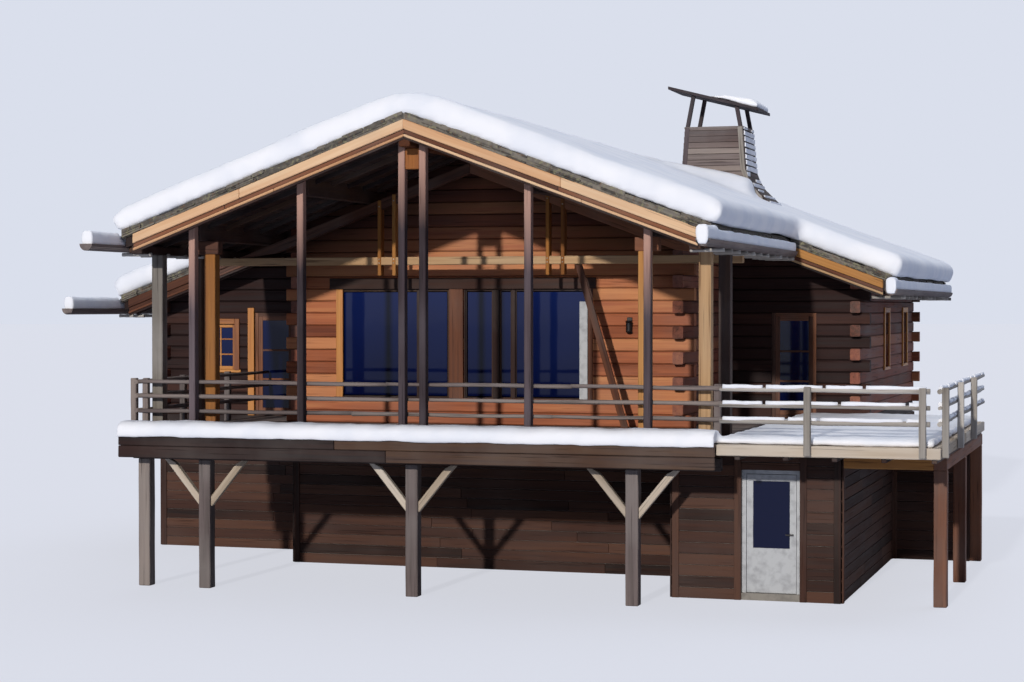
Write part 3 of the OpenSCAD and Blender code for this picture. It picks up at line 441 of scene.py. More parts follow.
@dataclass(frozen=True)
class SettledSnow:
    """Snow of a few days: white and matt, softly dented by wind, with a trace of painted blue shade in its
    hollows.
    """

    name: str = "settled_snow"
    white: str = "#F6F7FC"
    hollow_shade: str = "#ECEFF7"

    def make(self) -> bpy.types.Material:
        """Build the material, with dents of 0.7 m and a crust of 20 mm grains; the dents' low parts take a
        bluer tint as painted shade.

        Returns:
            The material.
        """
        material, tree, shader = new_material(self.name)
        place = object_place(tree)
        dents = noise(tree, place, 1.4, 2.0)
        crust = noise(tree, place, 45.0, 4.0)
        height = calc(tree, "MULTIPLY_ADD", crust, 0.12, dents)
        feed(tree, shader, {
            # Painted shade: bluer where the dents are low.
            "Base Color": ramped(tree, dents, (0.35, self.hollow_shade), (0.6, self.white)),
            "Normal": bumped(tree, height, 0.25, 0.06),
            "Roughness": 0.7,
            "IOR": 1.31,
        })
        return material


@dataclass(frozen=True)
class WindowGlass:
    """Float glass, drawn opaque: its deep blue is painted shade of the dark room behind with a painted sky
    reflection in it; smooth and glossy, a little wavy.
    """

    name: str = "float_glass"
    # Deep blue: painted shade of the dark room, with the sky's reflection in it.
    deep: str = "#060D30"
    sky_reflection: str = "#122052"

    def make(self) -> bpy.types.Material:
        """Build the material, its blue paling towards the head of a tall pane as a painted reflection of the
        sky.

        Returns:
            The material.
        """
        material, tree, shader = new_material(self.name)
        place = object_place(tree)
        height = add_node(tree, "ShaderNodeSeparateXYZ", None, {0: place}).outputs[2]
        # Painted sky reflection: paler towards the pane's head.
        rise = ranged(tree, height, 3.0, 5.6, 0.75, -0.1)
        level = calc(tree, "MULTIPLY_ADD", noise(tree, place, 0.8, 1.0), 0.5, rise)
        feed(tree, shader, {
            "Base Color": ramped(tree, level, (0.1, self.sky_reflection), (0.9, self.deep)),
            "Normal": bumped(tree, noise(tree, place, 1.5, 1.0), 0.05, 0.02),
            "Roughness": 0.04,
            "IOR": 1.52,
            "Specular IOR Level": 0.3,
        })
        return material


@dataclass(frozen=True)
class Coated:
    """Oil paint on wood, a cast floor, or forged iron with a dull coat: rubbed and dusty in places."""

    name: str
    base: str
    worn: str
    rough: float
    metal: float = 0.0

    def make(self) -> bpy.types.Material:
        """Build the material, with worn patches of 50 to 150 mm.

        Returns:
            The material.
        """
        material, tree, shader = new_material(self.name)
        wear = noise(tree, object_place(tree), 8.0, 5.0)
        feed(tree, shader, {
            "Base Color": ramped(tree, wear, (0.45, self.base), (0.75, self.worn)),
            "Roughness": ranged(tree, wear, 0.0, 1.0, self.rough - 0.1, self.rough + 0.15),
            "Normal": bumped(tree, wear, 0.25, 0.004),
            "Metallic": self.metal,
        })
        return material


class Finish(Enum):
    """The finishes that the chalet's pieces take."""

    # The roof-line colour here is painted shade that darkens the gable's top under the roof. The seed is
    # picked so that the courses just above the tie beam come out light: painted sunlight on the gable.
    LOGS_ACROSS = Wood("hewn_larch_across", "#6B3724", "#AB6443", "#D29162", weather=0.2,
                       lie=Lie.ACROSS, course=PLAN.log, seed=496.0, roof_line_tint="#2B1613")
    # Painted shade: a darker copy of the hewn larch for the wing fronts, standing in for the shade they lie
    # in.
    LOGS_SHADED = Wood("hewn_larch_painted_shade", "#190E0D", "#301D1A", "#4C3027", weather=0.2,
                       lie=Lie.ACROSS, course=PLAN.log, seed=17.0, grey="#413334")
    LOGS_INWARD = Wood("hewn_larch_inward", "#4E2C20", "#875040", "#A86E50", weather=0.35,
                       lie=Lie.INWARD, course=PLAN.log, seed=31.0)
    TIMBER_DARK = Wood("old_spruce_dark", "#1E1414", "#382622", "#58402F", weather=0.25)
    TIMBER_TAN = Wood("sunned_larch_boards", "#B67F58", "#D6A67C", "#E8C49E", weather=0.15, cracks=0.35)
    TIMBER_ORANGE = Wood("oiled_larch_posts", "#6E4020", "#A06A34", "#BF8A50", weather=0.1)
    TIMBER_HONEY = Wood("larch_gone_honey", "#745439", "#A8825C", "#C8A67E", weather=0.25, grey="#958A7E")
    TIMBER_SLATE = Wood("weathered_larch_dark", "#231C1E", "#43383B", "#665A5C", weather=0.4, grey="#5B565A")
    # Paler and tan towards the heads, under the roof.
    POSTS_SLATE = Wood("weathered_larch_tan_heads", "#2A2124", "#4B3F43", "#6E6165", weather=0.4,
                       grey="#635C62", roof_line_tint="#BC9484")
    TIMBER_RUST = Wood("larch_out_of_the_rain", "#4E2812", "#7C4724", "#9C6234", weather=0.05)
    TIMBER_SILVER = Wood("silvered_larch", "#6E675F", "#A39B92", "#C6C0B8", weather=0.4, grey="#B8B4B0")
    TIMBER_GREY = Wood("weathered_spruce", "#3E3632", "#6E6260", "#93867E", weather=0.5, grey="#8A8480")
    TIMBER_PALE = Wood("bleached_larch", "#8C7C69", "#BBAA96", "#D8CCBC", weather=0.35, grey="#BDB6AE")
    BOARDS_BROWN = Wood("brown_spruce_boards", "#3C2219", "#6A4230", "#8C5C42", weather=0.3)
    # Painted shade: a darker copy of the spruce boards, for boards that lie in shade under the deck and the
    # veranda roof.
    BOARDS_SHADED = Wood("spruce_boards_painted_shade", "#20130F", "#412921", "#5C3E30", weather=0.3,
                         grey="#5A4D48")
    BOARDS_CHIMNEY = Wood("grey_brown_shiplap", "#33282A", "#594945", "#7C6D68", weather=0.4, grey="#85807F")
    FRAMES = Wood("varnished_larch", "#7A431A", "#B4702C", "#CF9148", weather=0.05, cracks=0.2,
                  rough=0.5, gloss=0.5)
    STONE = SplitStone()
    SNOW = SettledSnow()
    GLASS = WindowGlass()
    DOOR_PAINT = Coated("grey_oil_paint", "#B5B7BA", "#95969A", 0.45)
    IRON = Coated("blackened_iron", "#2B2B2E", "#4A4541", 0.5, 1.0)
    CAST_FLOOR = Coated("cast_floor", "#8B857D", "#75706A", 0.8)

    @property
    def material(self) -> bpy.types.Material:
        """The Blender material of this finish, made when it is first asked for."""
        made = bpy.data.materials.get(self.value.name)
        return made or self.value.make()


def pick(*objects: bpy.types.Object) -> None:
    """Select only these objects and make the first one active.

    Args:
        objects: The objects.
    """
    bpy.ops.object.select_all(action="DESELECT")
    for item in objects:
        item.select_set(True)
    bpy.context.view_layer.objects.active = objects[0]


def in_edit_mode(item: bpy.types.Object, *steps: Callable[[], Any]) -> None:
    """Run modelling steps on one object in edit mode, with all of it selected.

    Args:
        item: The object.
        steps: The modelling steps.
    """
    pick(item)
    bpy.ops.object.mode_set(mode="EDIT")
    bpy.ops.mesh.select_all(action="SELECT")
    for step in steps:
        step()
    bpy.ops.object.mode_set(mode="OBJECT")


def edit_some(
    item: bpy.types.Object, kind: str, chosen: Callable[[Any], bool], *steps: Callable[[], Any]
) -> None:
    """Run modelling steps in edit mode on some edges or faces of one object.

    Args:
        item: The object.
        kind: "EDGE" or "FACE".
        chosen: Tells whether an edge or a face is one of them.
        steps: The modelling steps.
    """
    pick(item)
    bpy.ops.object.mode_set(mode="EDIT")
    bpy.ops.mesh.select_mode(type=kind)
    bpy.ops.mesh.select_all(action="DESELECT")
    bpy.ops.object.mode_set(mode="OBJECT")
    for part in item.data.edges if kind == "EDGE" else item.data.polygons:
        part.select = chosen(part)
    bpy.ops.object.mode_set(mode="EDIT")
    for step in steps:
        step()
    bpy.ops.object.mode_set(mode="OBJECT")


def cut_edges(item: bpy.types.Object, axis: int, cuts: int) -> None:
    """Subdivide the long edges of a primitive that run along one axis.

    Args:
        item: The primitive.
        axis: 0, 1 or 2 for X, Y or Z.
        cuts: Number of new rings.
    """

    def is_long(edge: bpy.types.MeshEdge) -> bool:
        """Tell whether an edge runs along the axis for more than half the primitive."""
        a, b = (item.data.vertices[i].co for i in edge.vertices)
        return abs(a[axis] - b[axis]) > 0.5

    edit_some(item, "EDGE", is_long, lambda: bpy.ops.mesh.subdivide(number_cuts=cuts))


def coordinates(mesh: bpy.types.Mesh) -> np.ndarray:
    """Read the places of a mesh's points.

    Args:
        mesh: The mesh.

    Returns:
        Rows of three coordinates.
    """
    values = np.empty(len(mesh.vertices) * 3, np.float32)
    mesh.vertices.foreach_get("co", values)
    return values.reshape(-1, 3).astype(float)


def set_coordinates(mesh: bpy.types.Mesh, values: np.ndarray) -> None:
    """Write rows of three back to a mesh's vertices."""
    mesh.vertices.foreach_set("co", values.astype(np.float32).ravel())
    mesh.update()


@dataclass
class Stock:
    """Sawn stock: a block with eased edges, modelled once and cut to size for each timber."""

    ease: float
    rings: int = 0
    mesh: bpy.types.Mesh = field(init=False)

    def __post_init__(self) -> None:
        """Model the block with Blender's own tools."""
        bpy.ops.object.select_all(action="DESELECT")
        bpy.ops.mesh.primitive_cube_add(size=1.0)
        item = bpy.context.object
        in_edit_mode(item, lambda: bpy.ops.mesh.bevel(offset=self.ease, segments=1, affect="EDGES"))
        if self.rings:
            cut_edges(item, 0, self.rings)
        self.mesh = item.data
        bpy.data.objects.remove(item)

    def cut(self, low: Point, high: Point, lie: Lie | None = None, waver: float = 0.0) -> bpy.types.Object:
        """Cut one timber to its corners, with its own grain and tone.

        Args:
            low: The lowest corner.
            high: The highest corner.
            lie: The way the grain runs, or None for the longest side.
            waver: How far corners may stray, for hewn or split pieces.

        Returns:
            The timber, with its place in its mesh.
        """
        size = [high[i] - low[i] for i in range(3)]
        middle = [(high[i] + low[i]) / 2 for i in range(3)]
        along = size.index(max(size)) if lie is None else lie.value
        order = [along, (along + 1) % 3, (along + 2) % 3]
        unit = coordinates(self.mesh)
        out = np.zeros_like(unit)
        own = np.zeros_like(unit)
        for column, axis in enumerate(order):
            u = unit[:, column]
            half, inner = size[axis] / 2, max(size[axis] / 2 - self.ease, 0.001)
            scaled = np.where(
                np.abs(u) > 0.5 - self.ease - 1e-5,
                np.sign(u) * (half - (0.5 - np.abs(u)) * (half - inner) / self.ease),
                u * inner / (0.5 - self.ease),
            )
            own[:, column] = scaled
            out[:, axis] = scaled
        if waver:
            strays = np.array([[RNG.uniform(-waver, waver) for _ in range(3)] for _ in out])
            out += strays * (np.array(size) > 6 * waver)
        mesh = self.mesh.copy()
        set_coordinates(mesh, out + np.array(middle))
        mark_grain(mesh, own)
        return link(mesh, "timber")


@dataclass
class Pole:
    """A peeled pole: a round stem, modelled once, then tapered and bowed for each rail."""

    sides: int = 8
    rings: int = 9
    mesh: bpy.types.Mesh = field(init=False)

    def __post_init__(self) -> None:
        """Model the stem with Blender's own tools."""
        bpy.ops.object.select_all(action="DESELECT")
        bpy.ops.mesh.primitive_cylinder_add(vertices=self.sides, radius=0.5, depth=1.0)
        item = bpy.context.object
        cut_edges(item, 2, self.rings)
        self.mesh = item.data
        bpy.data.objects.remove(item)

    def lay(self, start: Point, end: Point, butt: float, tip: float, bow: float) -> bpy.types.Object:
        """Lay one pole between two points.

        Args:
            start: The middle of its butt end.
            end: The middle of its tip.
            butt: Diameter at the butt.
            tip: Diameter at the tip.
            bow: Greatest stray of its middle line.

        Returns:
            The pole, with its place in its mesh.
        """
        unit = coordinates(self.mesh)
        share = unit[:, 2] + 0.5
        axis = Vector(end) - Vector(start)
        upright = abs(axis.normalized().z) >= 0.9
        side = Vector((1.0, 0.0, 0.0)) if upright else axis.cross(Vector((0.0, 0.0, 1.0)))
        side.normalize()
        up = side.cross(axis).normalized()
        knots = np.array([RNG.uniform(0.9, 1.1) for _ in range(self.rings + 2)])
        swell = np.interp(share, np.linspace(0, 1, self.rings + 2), knots)
        width = (butt + (tip - butt) * share) * swell
        phase, waves = RNG.uniform(0, 6.28), RNG.uniform(0.8, 2.2)
        held = np.sin(math.pi * share)
        stray = bow * np.sin(waves * math.pi * share + phase) * held
        sway = bow * 0.6 * np.sin(2.3 * math.pi * share + 2 * phase) * held
        place = (np.array(start) + np.outer(share, np.array(axis))
                 + np.outer(unit[:, 0] * width + stray, np.array(side))
                 + np.outer(unit[:, 1] * width + sway, np.array(up)))
        own = np.stack([share * axis.length, unit[:, 0] * width, unit[:, 1] * width], axis=1)
        mesh = self.mesh.copy()
        set_coordinates(mesh, place)
        mark_grain(mesh, own)
        item = link(mesh, "pole")
        mesh.polygons.foreach_set("use_smooth", [len(f.vertices) == 4 for f in mesh.polygons])
        return item


def mark_grain(mesh: bpy.types.Mesh, own: np.ndarray) -> None:
    """Store a piece's own grain coordinates, shifted at random, and its own tone.

    Args:
        mesh: The piece's mesh.
        own: Rows of coordinates, the first along the grain.
    """
    shift = np.array([RNG.uniform(0, 40) for _ in range(3)])
    grain = mesh.attributes.new("grain", "FLOAT_VECTOR", "POINT")
    grain.data.foreach_set("vector", (own + shift).astype(np.float32).ravel())
    tone = mesh.attributes.new("tone", "FLOAT", "POINT")
    tone.data.foreach_set("value", np.full(len(own), RNG.random(), np.float32))


def link(mesh: bpy.types.Mesh, name: str) -> bpy.types.Object:
    """Put a mesh into the scene.

    Args:
        mesh: The mesh.
        name: Name of the object.

    Returns:
        The object, at the origin.
    """
    item = bpy.data.objects.new(name, mesh)
    bpy.context.scene.collection.objects.link(item)
    return item


def copy_node(node: str, merge: float = 0.0002) -> bpy.types.Object:
    """Copy a CAD node's mesh, merge its loose triangles and restore its flat faces.

    Args:
        node: The node's name.
        merge: Distance within which points become one.

    Returns:
        The copy, without a material.
    """
    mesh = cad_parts[node].data.copy()
    mesh.materials.clear()
    item = link(mesh, node + "_copy")
    in_edit_mode(
        item,
        lambda: bpy.ops.mesh.remove_doubles(threshold=merge),
        lambda: bpy.ops.mesh.dissolve_limited(angle_limit=math.radians(0.5)),
    )
    return item


def apply_modifier(item: bpy.types.Object, kind: str, **settings: Any) -> None:
    """Add one modifier to an object and apply it.

    Args:
        item: The object.
        kind: The modifier's type.
        settings: Attributes of the modifier.
    """
    pick(item)
    modifier = item.modifiers.new(kind.lower(), kind)
    for key, value in settings.items():
        setattr(modifier, key, value)
    bpy.ops.object.modifier_apply(modifier=modifier.name)


def follow_roof(item: bpy.types.Object) -> bpy.types.Object:
    """Lift a piece that was cut level at height 0 to the roof, and bend it to the roof's fall.

    Args:
        item: The piece.

    Returns:
        The same piece.
    """
    points = coordinates(item.data)
    points[:, 2] += PLAN.ridge - PLAN.fall * np.abs(points[:, 0])
    set_coordinates(item.data, points)
    return item


def slant(item: bpy.types.Object, about: Point, turn: float, axis: str) -> bpy.types.Object:
    """Turn a finished timber about a point, with its grain kept.

    Args:
        item: The timber.
        about: The point that stays.
        turn: Angle in degrees.
        axis: "X", "Y" or "Z".

    Returns:
        The same timber.
    """
    turned = Matrix.Rotation(math.radians(turn), 4, axis)
    item.data.transform(Matrix.Translation(about) @ turned @ Matrix.Translation(-Vector(about)))
    return item


def trim(item: bpy.types.Object, low: float = -math.inf, high: float = math.inf) -> bpy.types.Object:
    """Cut a timber level at its foot, its head or both.

    Args:
        item: The timber.
        low: Height of its foot.
        high: Height of its head.

    Returns:
        The same timber.
    """
    points = coordinates(item.data)
    points[:, 2] = np.clip(points[:, 2], low, high)
    set_coordinates(item.data, points)
    return item


@dataclass
class Pile:
    """The timbers or slabs of one piece, gathered until they are joined."""

    name: str
    finish: Finish
    slot: str
    stands_for: tuple[str, ...] = ()
    body: str = "root"
    parts: list[bpy.types.Object] = field(default_factory=list)

    def add(self, *parts: bpy.types.Object) -> None:
        """Put finished parts on the pile."""
        self.parts.extend(parts)

    def join(self, *last: bpy.types.Object) -> None:
        """Join the parts to one piece inside the CAD box, dress it and let it ride on its body.

        Args:
            last: Parts that are put on the pile before it is joined.
        """
        self.add(*last)
        pick(*self.parts)
        if len(self.parts) > 1:
            bpy.ops.object.join()
        piece = bpy.context.view_layer.objects.active
        piece.name = self.name
        piece.data.name = self.name
        piece.data.materials.clear()
        piece.data.materials.append(self.finish.material)
        set_coordinates(piece.data, np.clip(coordinates(piece.data), *CAD_BOX))
        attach(piece, self.body)
        if self.stands_for:
            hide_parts(*self.stands_for)
        LOG.info("%s: %d parts, %d faces", self.name, len(self.parts), len(piece.data.polygons))


def join_all(*piles: Pile) -> None:
    """Join piles to their pieces, in this order."""
    for pile in piles:
        pile.join()


def dress(finish: Finish, *nodes: str) -> None:
    """Give CAD nodes that stay a finish through their material slots.

    Args:
        finish: The finish.
        nodes: The nodes' names.
    """
    for name in nodes:
        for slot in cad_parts[name].material_slots:
            slot.material = finish.material
        LOG.info("%s keeps its shape in %s", name, finish.value.name)


def spread(low: float, high: float, step: float) -> list[float]:
    """Return places from low to high, evenly spread and at most a step apart."""
    count = max(1, math.ceil((high - low) / step))
    return [low + (high - low) * i / count for i in range(count + 1)]


def lengths(
    low: float, high: float, shortest: float, longest: float, gap: float = 0.004
) -> list[tuple[float, float]]:
    """Share a run out among boards of uneven length.

    Args:
        low: Start of the run.
        high: End of the run.
        shortest: Least length of a board.
        longest: Greatest length of a board.
        gap: Joint between two boards.

    Returns:
        Start and end of each board.
    """
    ends, place = [], low
    while place < high:
        stop = place + RNG.uniform(shortest, longest)
        if high - stop < shortest / 2:
            stop = high
        ends.append((place, min(stop, high) - gap))
        place = stop
    return ends


def mirrored(side: int, near: float, far: float) -> list[float]:
    """Return two distances from the ridge as x on the left (-1) or right (1), the lower first."""
    return sorted((side * near, side * far))


def wall_box(u0: float, u1: float, near: float, far: float, z0: float, z1: float,
             inward: bool) -> tuple[Point, Point]:
    """Return the corners of a box on a wall that runs along X, or along Y if inward."""
    return ((near, u0, z0), (far, u1, z1)) if inward else ((u0, near, z0), (u1, far, z1))


def nail(pile: Pile, u0: float, u1: float, near: float, far: float, z0: float, z1: float,
         inward: bool, upright: bool = False) -> None:
    """Add one board to a wall that runs along X, or along Y if inward."""
    lie = Lie.UPRIGHT if upright else Lie.INWARD if inward else Lie.ACROSS
    pile.add(BOARD.cut(*wall_box(u0, u1, near, far, z0, z1, inward), lie))


BOARD = Stock(0.006)
BEAM = Stock(0.012, rings=5)
SLAB = Stock(0.009)
POLE = Pole()


@dataclass
class SnowRoof:
    """Snow on the roof, the gutters, the deck and the lid, as soft drifts."""

    roof_voxel: float = 0.1
    fine_voxel: float = 0.045
    gutter_voxel: float = 0.03
    crest: float = 0.7
    skin: float = 0.15
    end_near: float = 0.3
    end_fade: float = 0.4

    def build(self) -> None:
        """Make each drift from the CAD snow that it stands for."""
        self.drift("roof_snow", ("snow_left", "snow_right"), self.roof_voxel, 6, 0.09, 1.6)
        self.drift("gutter_drifts", ("gutter_snow",), self.gutter_voxel, 3, 0.035, 0.35)
        self.drift("deck_drifts", ("deck_snow",), self.fine_voxel, 3, 0.05, 0.5)
        self.drift("lid_drift", ("chimney_snow",), self.gutter_voxel, 4, 0.06, 0.3)

    def drift(
        self, name: str, nodes: tuple[str, ...], voxel: float, rounds: int, swell: float, size: float
    ) -> None:
        """Round one CAD snow form off and roughen it with wind dents.

        Args:
            name: Name of the piece.
            nodes: The CAD nodes that it stands for.
            voxel: Grain of the remeshed form.
            rounds: Smoothing steps.
            swell: Height of the wind dents.
            size: Width of the wind dents.
        """
        copies = [copy_node(node) for node in nodes]
        for item in copies:
            self.overlap_at_ridge(item, voxel)
        pick(*copies)
        if len(copies) > 1:
            bpy.ops.object.join()
        item = bpy.context.view_layer.objects.active
        apply_modifier(item, "REMESH", mode="VOXEL", voxel_size=voxel)
        apply_modifier(item, "SMOOTH", factor=0.5, iterations=rounds)
        if len(copies) > 1:
            self.round_crest(item)
        dents = bpy.data.textures.new(name + "_dents", "CLOUDS")
        dents.noise_scale = size
        dents.noise_depth = 2
        apply_modifier(item, "DISPLACE", texture=dents, strength=swell, mid_level=0.62,
                       texture_coords="LOCAL")
        item.data.polygons.foreach_set("use_smooth", [True] * len(item.data.polygons))
        Pile(name, Finish.SNOW, "snow", nodes).join(item)

    def round_crest(self, item: bpy.types.Object) -> None:
        """Bend the top of the roof's snow into a soft curve over the ridge, and keep its ends' rounding.

        Args:
            item: The joined snow of both slopes.
        """
        points = coordinates(item.data)
        away = np.abs(points[:, 0])
        level = points[:, 2] + PLAN.fall * away
        beside = (away > self.crest) & (away < 2 * self.crest)
        top = np.percentile(level[beside], 75)
        upper = level > top - self.skin
        rings = np.linspace(0.0, self.crest, 15)
        found = [np.median(points[upper & (np.abs(away - ring) < 0.06), 2]) for ring in rings]
        curve = found[-1] + PLAN.fall * (self.crest**2 - away**2) / (2 * self.crest)
        share = np.clip((level - top + 2 * self.skin) / self.skin, 0.0, 1.0) * (away < self.crest)
        to_end = np.minimum(points[:, 1] - points[:, 1].min(), points[:, 1].max() - points[:, 1])
        along = np.clip((to_end - self.end_near) / self.end_fade, 0.0, 1.0)
        before = along * points[:, 2] + (1 - along) * np.interp(away, rings, found)
        points[:, 2] += share * (curve - before)
        set_coordinates(item.data, points)

    def overlap_at_ridge(self, item: bpy.types.Object, voxel: float) -> None:
        """Let one half of the roof's snow reach into the other, so that they merge.

        Args:
            item: A copy of a CAD snow form; one that ends away from the ridge stays as it is.
            voxel: How far it reaches past the ridge.
        """
        points = coordinates(item.data)
        inner = np.abs(points[:, 0]) < 1e-3
        if inner.any():
            points[inner, 0] = -math.copysign(voxel, points[:, 0].sum())
            set_coordinates(item.data, points)


@dataclass
class StoneRoof:
    """Rafters, soffit boards, verge boards and the split slabs along the roof's edges."""

    rafter_step: float = 0.78
    rafter_wide: float = 0.08
    rafter_deep: float = 0.1
    soffit_wide: float = 0.19
    soffit_thick: float = 0.016
    slab_layers: int = 3
    slab_deep: float = 0.4
    slab_joint: float = 0.01
    verge_slabs: tuple[float, float] = (0.22, 0.55)
    eave_slabs: tuple[float, float] = (0.25, 0.6)
    stray: float = 0.045
    chipped: float = 0.007
    strips: tuple[Point, ...] = ((-0.11, -0.062, 0.046), (-0.058, 0.014, 0.016), (0.018, 0.19, 0.056))

    def build(self) -> None:
        """Make the roof's woodwork and stone."""
        dress(Finish.TIMBER_DARK, "roof_boards_left", "roof_boards_right")
        self.rafters()
        self.soffit()
        self.verges()
        self.bed()
        self.slabs()

    def run_at(self, y: float, side: int) -> float:
        """Return how far the roof reaches from the ridge at y, on the left (-1) or right (1)."""
        return PLAN.wing_run(side) if y > PLAN.wing_verge(side) else PLAN.eave

    def wall_front(self, x: float) -> float:
        """Find the front wall under the roof.

        Args:
            x: The place along the front.

        Returns:
            The wall's y.
        """
        if abs(x) < PLAN.hall:
            return PLAN.front
        return PLAN.right_front if x > 0 else PLAN.left_front

    def rafters(self) -> None:
        """Lay rafters down both slopes, their tails showing at the eaves."""
        pile = Pile("rafters", Finish.TIMBER_DARK, "dark_wood")
        half = self.rafter_wide / 2
        for side in (-1, 1):
            for y in spread(PLAN.verge + 0.12, PLAN.back - 0.12, self.rafter_step):
                x0, x1 = mirrored(side, 0.02, self.run_at(y, side) - 0.02)
                low, high = (x0, y - half, -self.rafter_deep), (x1, y + half, -0.004)
                pile.add(follow_roof(BEAM.cut(low, high, Lie.ACROSS)))
        pile.join()

    def soffit(self) -> None:
        """Lay boards along the roof, seen from under its overhangs."""
        pile = Pile("soffit_boards", Finish.TIMBER_DARK, "dark_wood")
        for side in (-1, 1):
            edge = PLAN.right if side > 0 else -PLAN.left
            for i in range(int(PLAN.wing_run(side) / self.soffit_wide)):
                near, far = i * self.soffit_wide, (i + 1) * self.soffit_wide - 0.007
                x0, x1 = mirrored(side, near, far)
                over_wall = near < edge
                start = PLAN.verge if far < PLAN.eave else PLAN.wing_verge(side)
                stop = self.wall_front(side * near) if over_wall else PLAN.back
                rear = [(PLAN.rear - 0.05, PLAN.back)] if over_wall else []
                for y0, y1 in lengths(start, stop + 0.05, 2.5, 4.5) + rear:
                    low = (x0, y0, -self.soffit_thick - RNG.uniform(0, 0.004))
                    pile.add(follow_roof(BOARD.cut(low, (x1, y1, -0.001), Lie.INWARD)))
        pile.join()

    def verges(self) -> None:
        """Set a proud board, a dark sunk one and a narrow lower strip along each verge; the sunk board's dark
        brown paints the shade in its gap.
        """
        tan = Pile("verge_planks", Finish.TIMBER_TAN, "tan_wood", ("verge_boards",))
        # Dark brown planks: on each verge the sunk board, whose dark brown is painted shade of the gap under
        # the proud board; on the left wing's verge all three boards.
        brown_planks = Pile("brown_verge_planks", Finish.BOARDS_BROWN, "board_wood")
        honey = Pile("wing_verge_strips", Finish.TIMBER_HONEY, "tan_wood")
        orange = Pile("wing_verge_planks", Finish.TIMBER_ORANGE, "tan_wood")
        dark = Pile("verge_battens", Finish.TIMBER_DARK, "dark_wood")
        for rear in (False, True):
            for side in (-1, 1):
                stop = PLAN.wing_run(side) if rear else PLAN.eave
                y, out = (PLAN.back, 1) if rear else (PLAN.verge, -1)
                self.verge(side, 0.0, stop - 0.15, y, out, (tan, brown_planks, tan, dark))
        for side, low, high in ((-1, brown_planks, brown_planks), (1, honey, orange)):
            far, y = PLAN.wing_run(side) - 0.1, PLAN.wing_verge(side)
            self.verge(side, PLAN.eave, far, y, -1, (low, brown_planks, high, dark))
        join_all(tan, brown_planks, honey, orange, dark)

    def verge(self, side: int, near: float, far: float, y: float, out: int, piles: tuple[Pile, ...]) -> None:
        """Set the three boards of one verge, from the lowest, with a batten behind them.

        Args:
            side: Left (-1) or right (1) of the ridge.
            near: Distance from the ridge at which it starts.
            far: Distance from the ridge at which it ends.
            y: The roof's end that it covers.
            out: The way out of the roof, along Y.
            piles: The piles that take the lower strip, the sunk board, the proud board and the batten.
        """
        for pile, (z0, z1, thick) in zip(piles, self.strips):
            y0, y1 = sorted((y, y + out * thick))
            for a, b in lengths(near, far, 2.2, 3.4, 0.003):
                x0, x1 = mirrored(side, a, b)
                pile.add(follow_roof(BEAM.cut((x0, y0, z0), (x1, y1, z1), Lie.ACROSS)))
        x0, x1 = mirrored(side, near, far)
        y0, y1 = sorted((y - out * 0.05, y + out * 0.012))
        piles[-1].add(follow_roof(BOARD.cut((x0, y0, -0.15), (x1, y1, 0.1), Lie.ACROSS)))

    def bed(self) -> None:
        """Keep the layer of slabs under the snow, pulled in behind the ragged edge slabs."""
        pile = Pile("slab_bed", Finish.STONE, "roof_stone", ("stone_slabs_left", "stone_slabs_right"))
        over = PLAN.stone_over - 0.002
        for node, side in (("stone_slabs_left", -1), ("stone_slabs_right", 1)):
            item = copy_node(node)
            points = coordinates(item.data)
            x, y = points[:, 0] * side, points[:, 1]
            x[x > PLAN.wing_run(side) + over] -= self.stray
            x[np.abs(x - PLAN.eave - PLAN.stone_over) < 0.003] -= self.stray
            y[y > PLAN.back + over] -= self.stray
            y[y < PLAN.verge - over] += self.stray
            y[np.abs(y - PLAN.wing_verge(side) + PLAN.stone_over) < 0.003] += self.stray
            points[:, 0], points[:, 1] = x * side, y
            set_coordinates(item.data, points)
            mark_grain(item.data, points)
            pile.add(item)
        pile.join()

    def slabs(self) -> None:
        """Lay split slabs in layers along verges and eaves, each with its own stray and thickness."""
        pile = Pile("edge_slabs", Finish.STONE, "roof_stone")
        front, rear = PLAN.verge - PLAN.stone_over, PLAN.back + PLAN.stone_over
        eave = PLAN.eave + PLAN.stone_over
        for side in (-1, 1):
            run = PLAN.wing_run(side) + PLAN.stone_over
            wing = PLAN.wing_verge(side) - PLAN.stone_over
            for layer in range(self.slab_layers):
                runs = ((0.02, eave, front, 1), (eave, run, wing, 1), (0.02, run, rear, -1))
                for near, far, edge, inward in runs:
                    for a, b in lengths(near, far, *self.verge_slabs, self.slab_joint):
                        pile.add(self.verge_slab(side, a, b, edge, inward, layer))
                for edge, start, stop in ((eave, front, wing + 0.1), (run, wing, rear)):
                    for a, b in lengths(start, stop, *self.eave_slabs, self.slab_joint):
                        pile.add(self.eave_slab(side, edge, a, b, layer))
        pile.join()

    def verge_slab(
        self, side: int, a: float, b: float, edge: float, inward: int, layer: int
    ) -> bpy.types.Object:
        """Lay one slab whose ragged edge faces a verge.

        Args:
            side: Left (-1) or right (1) of the ridge.
            a: Distance from the ridge at which it starts.
            b: Distance from the ridge at which it ends.
            edge: The y of the verge.
            inward: The way into the roof, along Y.
            layer: Its layer, from 0 for the lowest.

        Returns:
            The slab.
        """
        x0, x1 = mirrored(side, a, b)
        y0, y1 = sorted((edge + inward * self.ragged(layer), edge + inward * self.slab_deep))
        low, high = (x0, y0, self.level(layer)), (x1, y1, self.top(layer))
        return follow_roof(SLAB.cut(low, high, Lie.ACROSS, self.chipped))

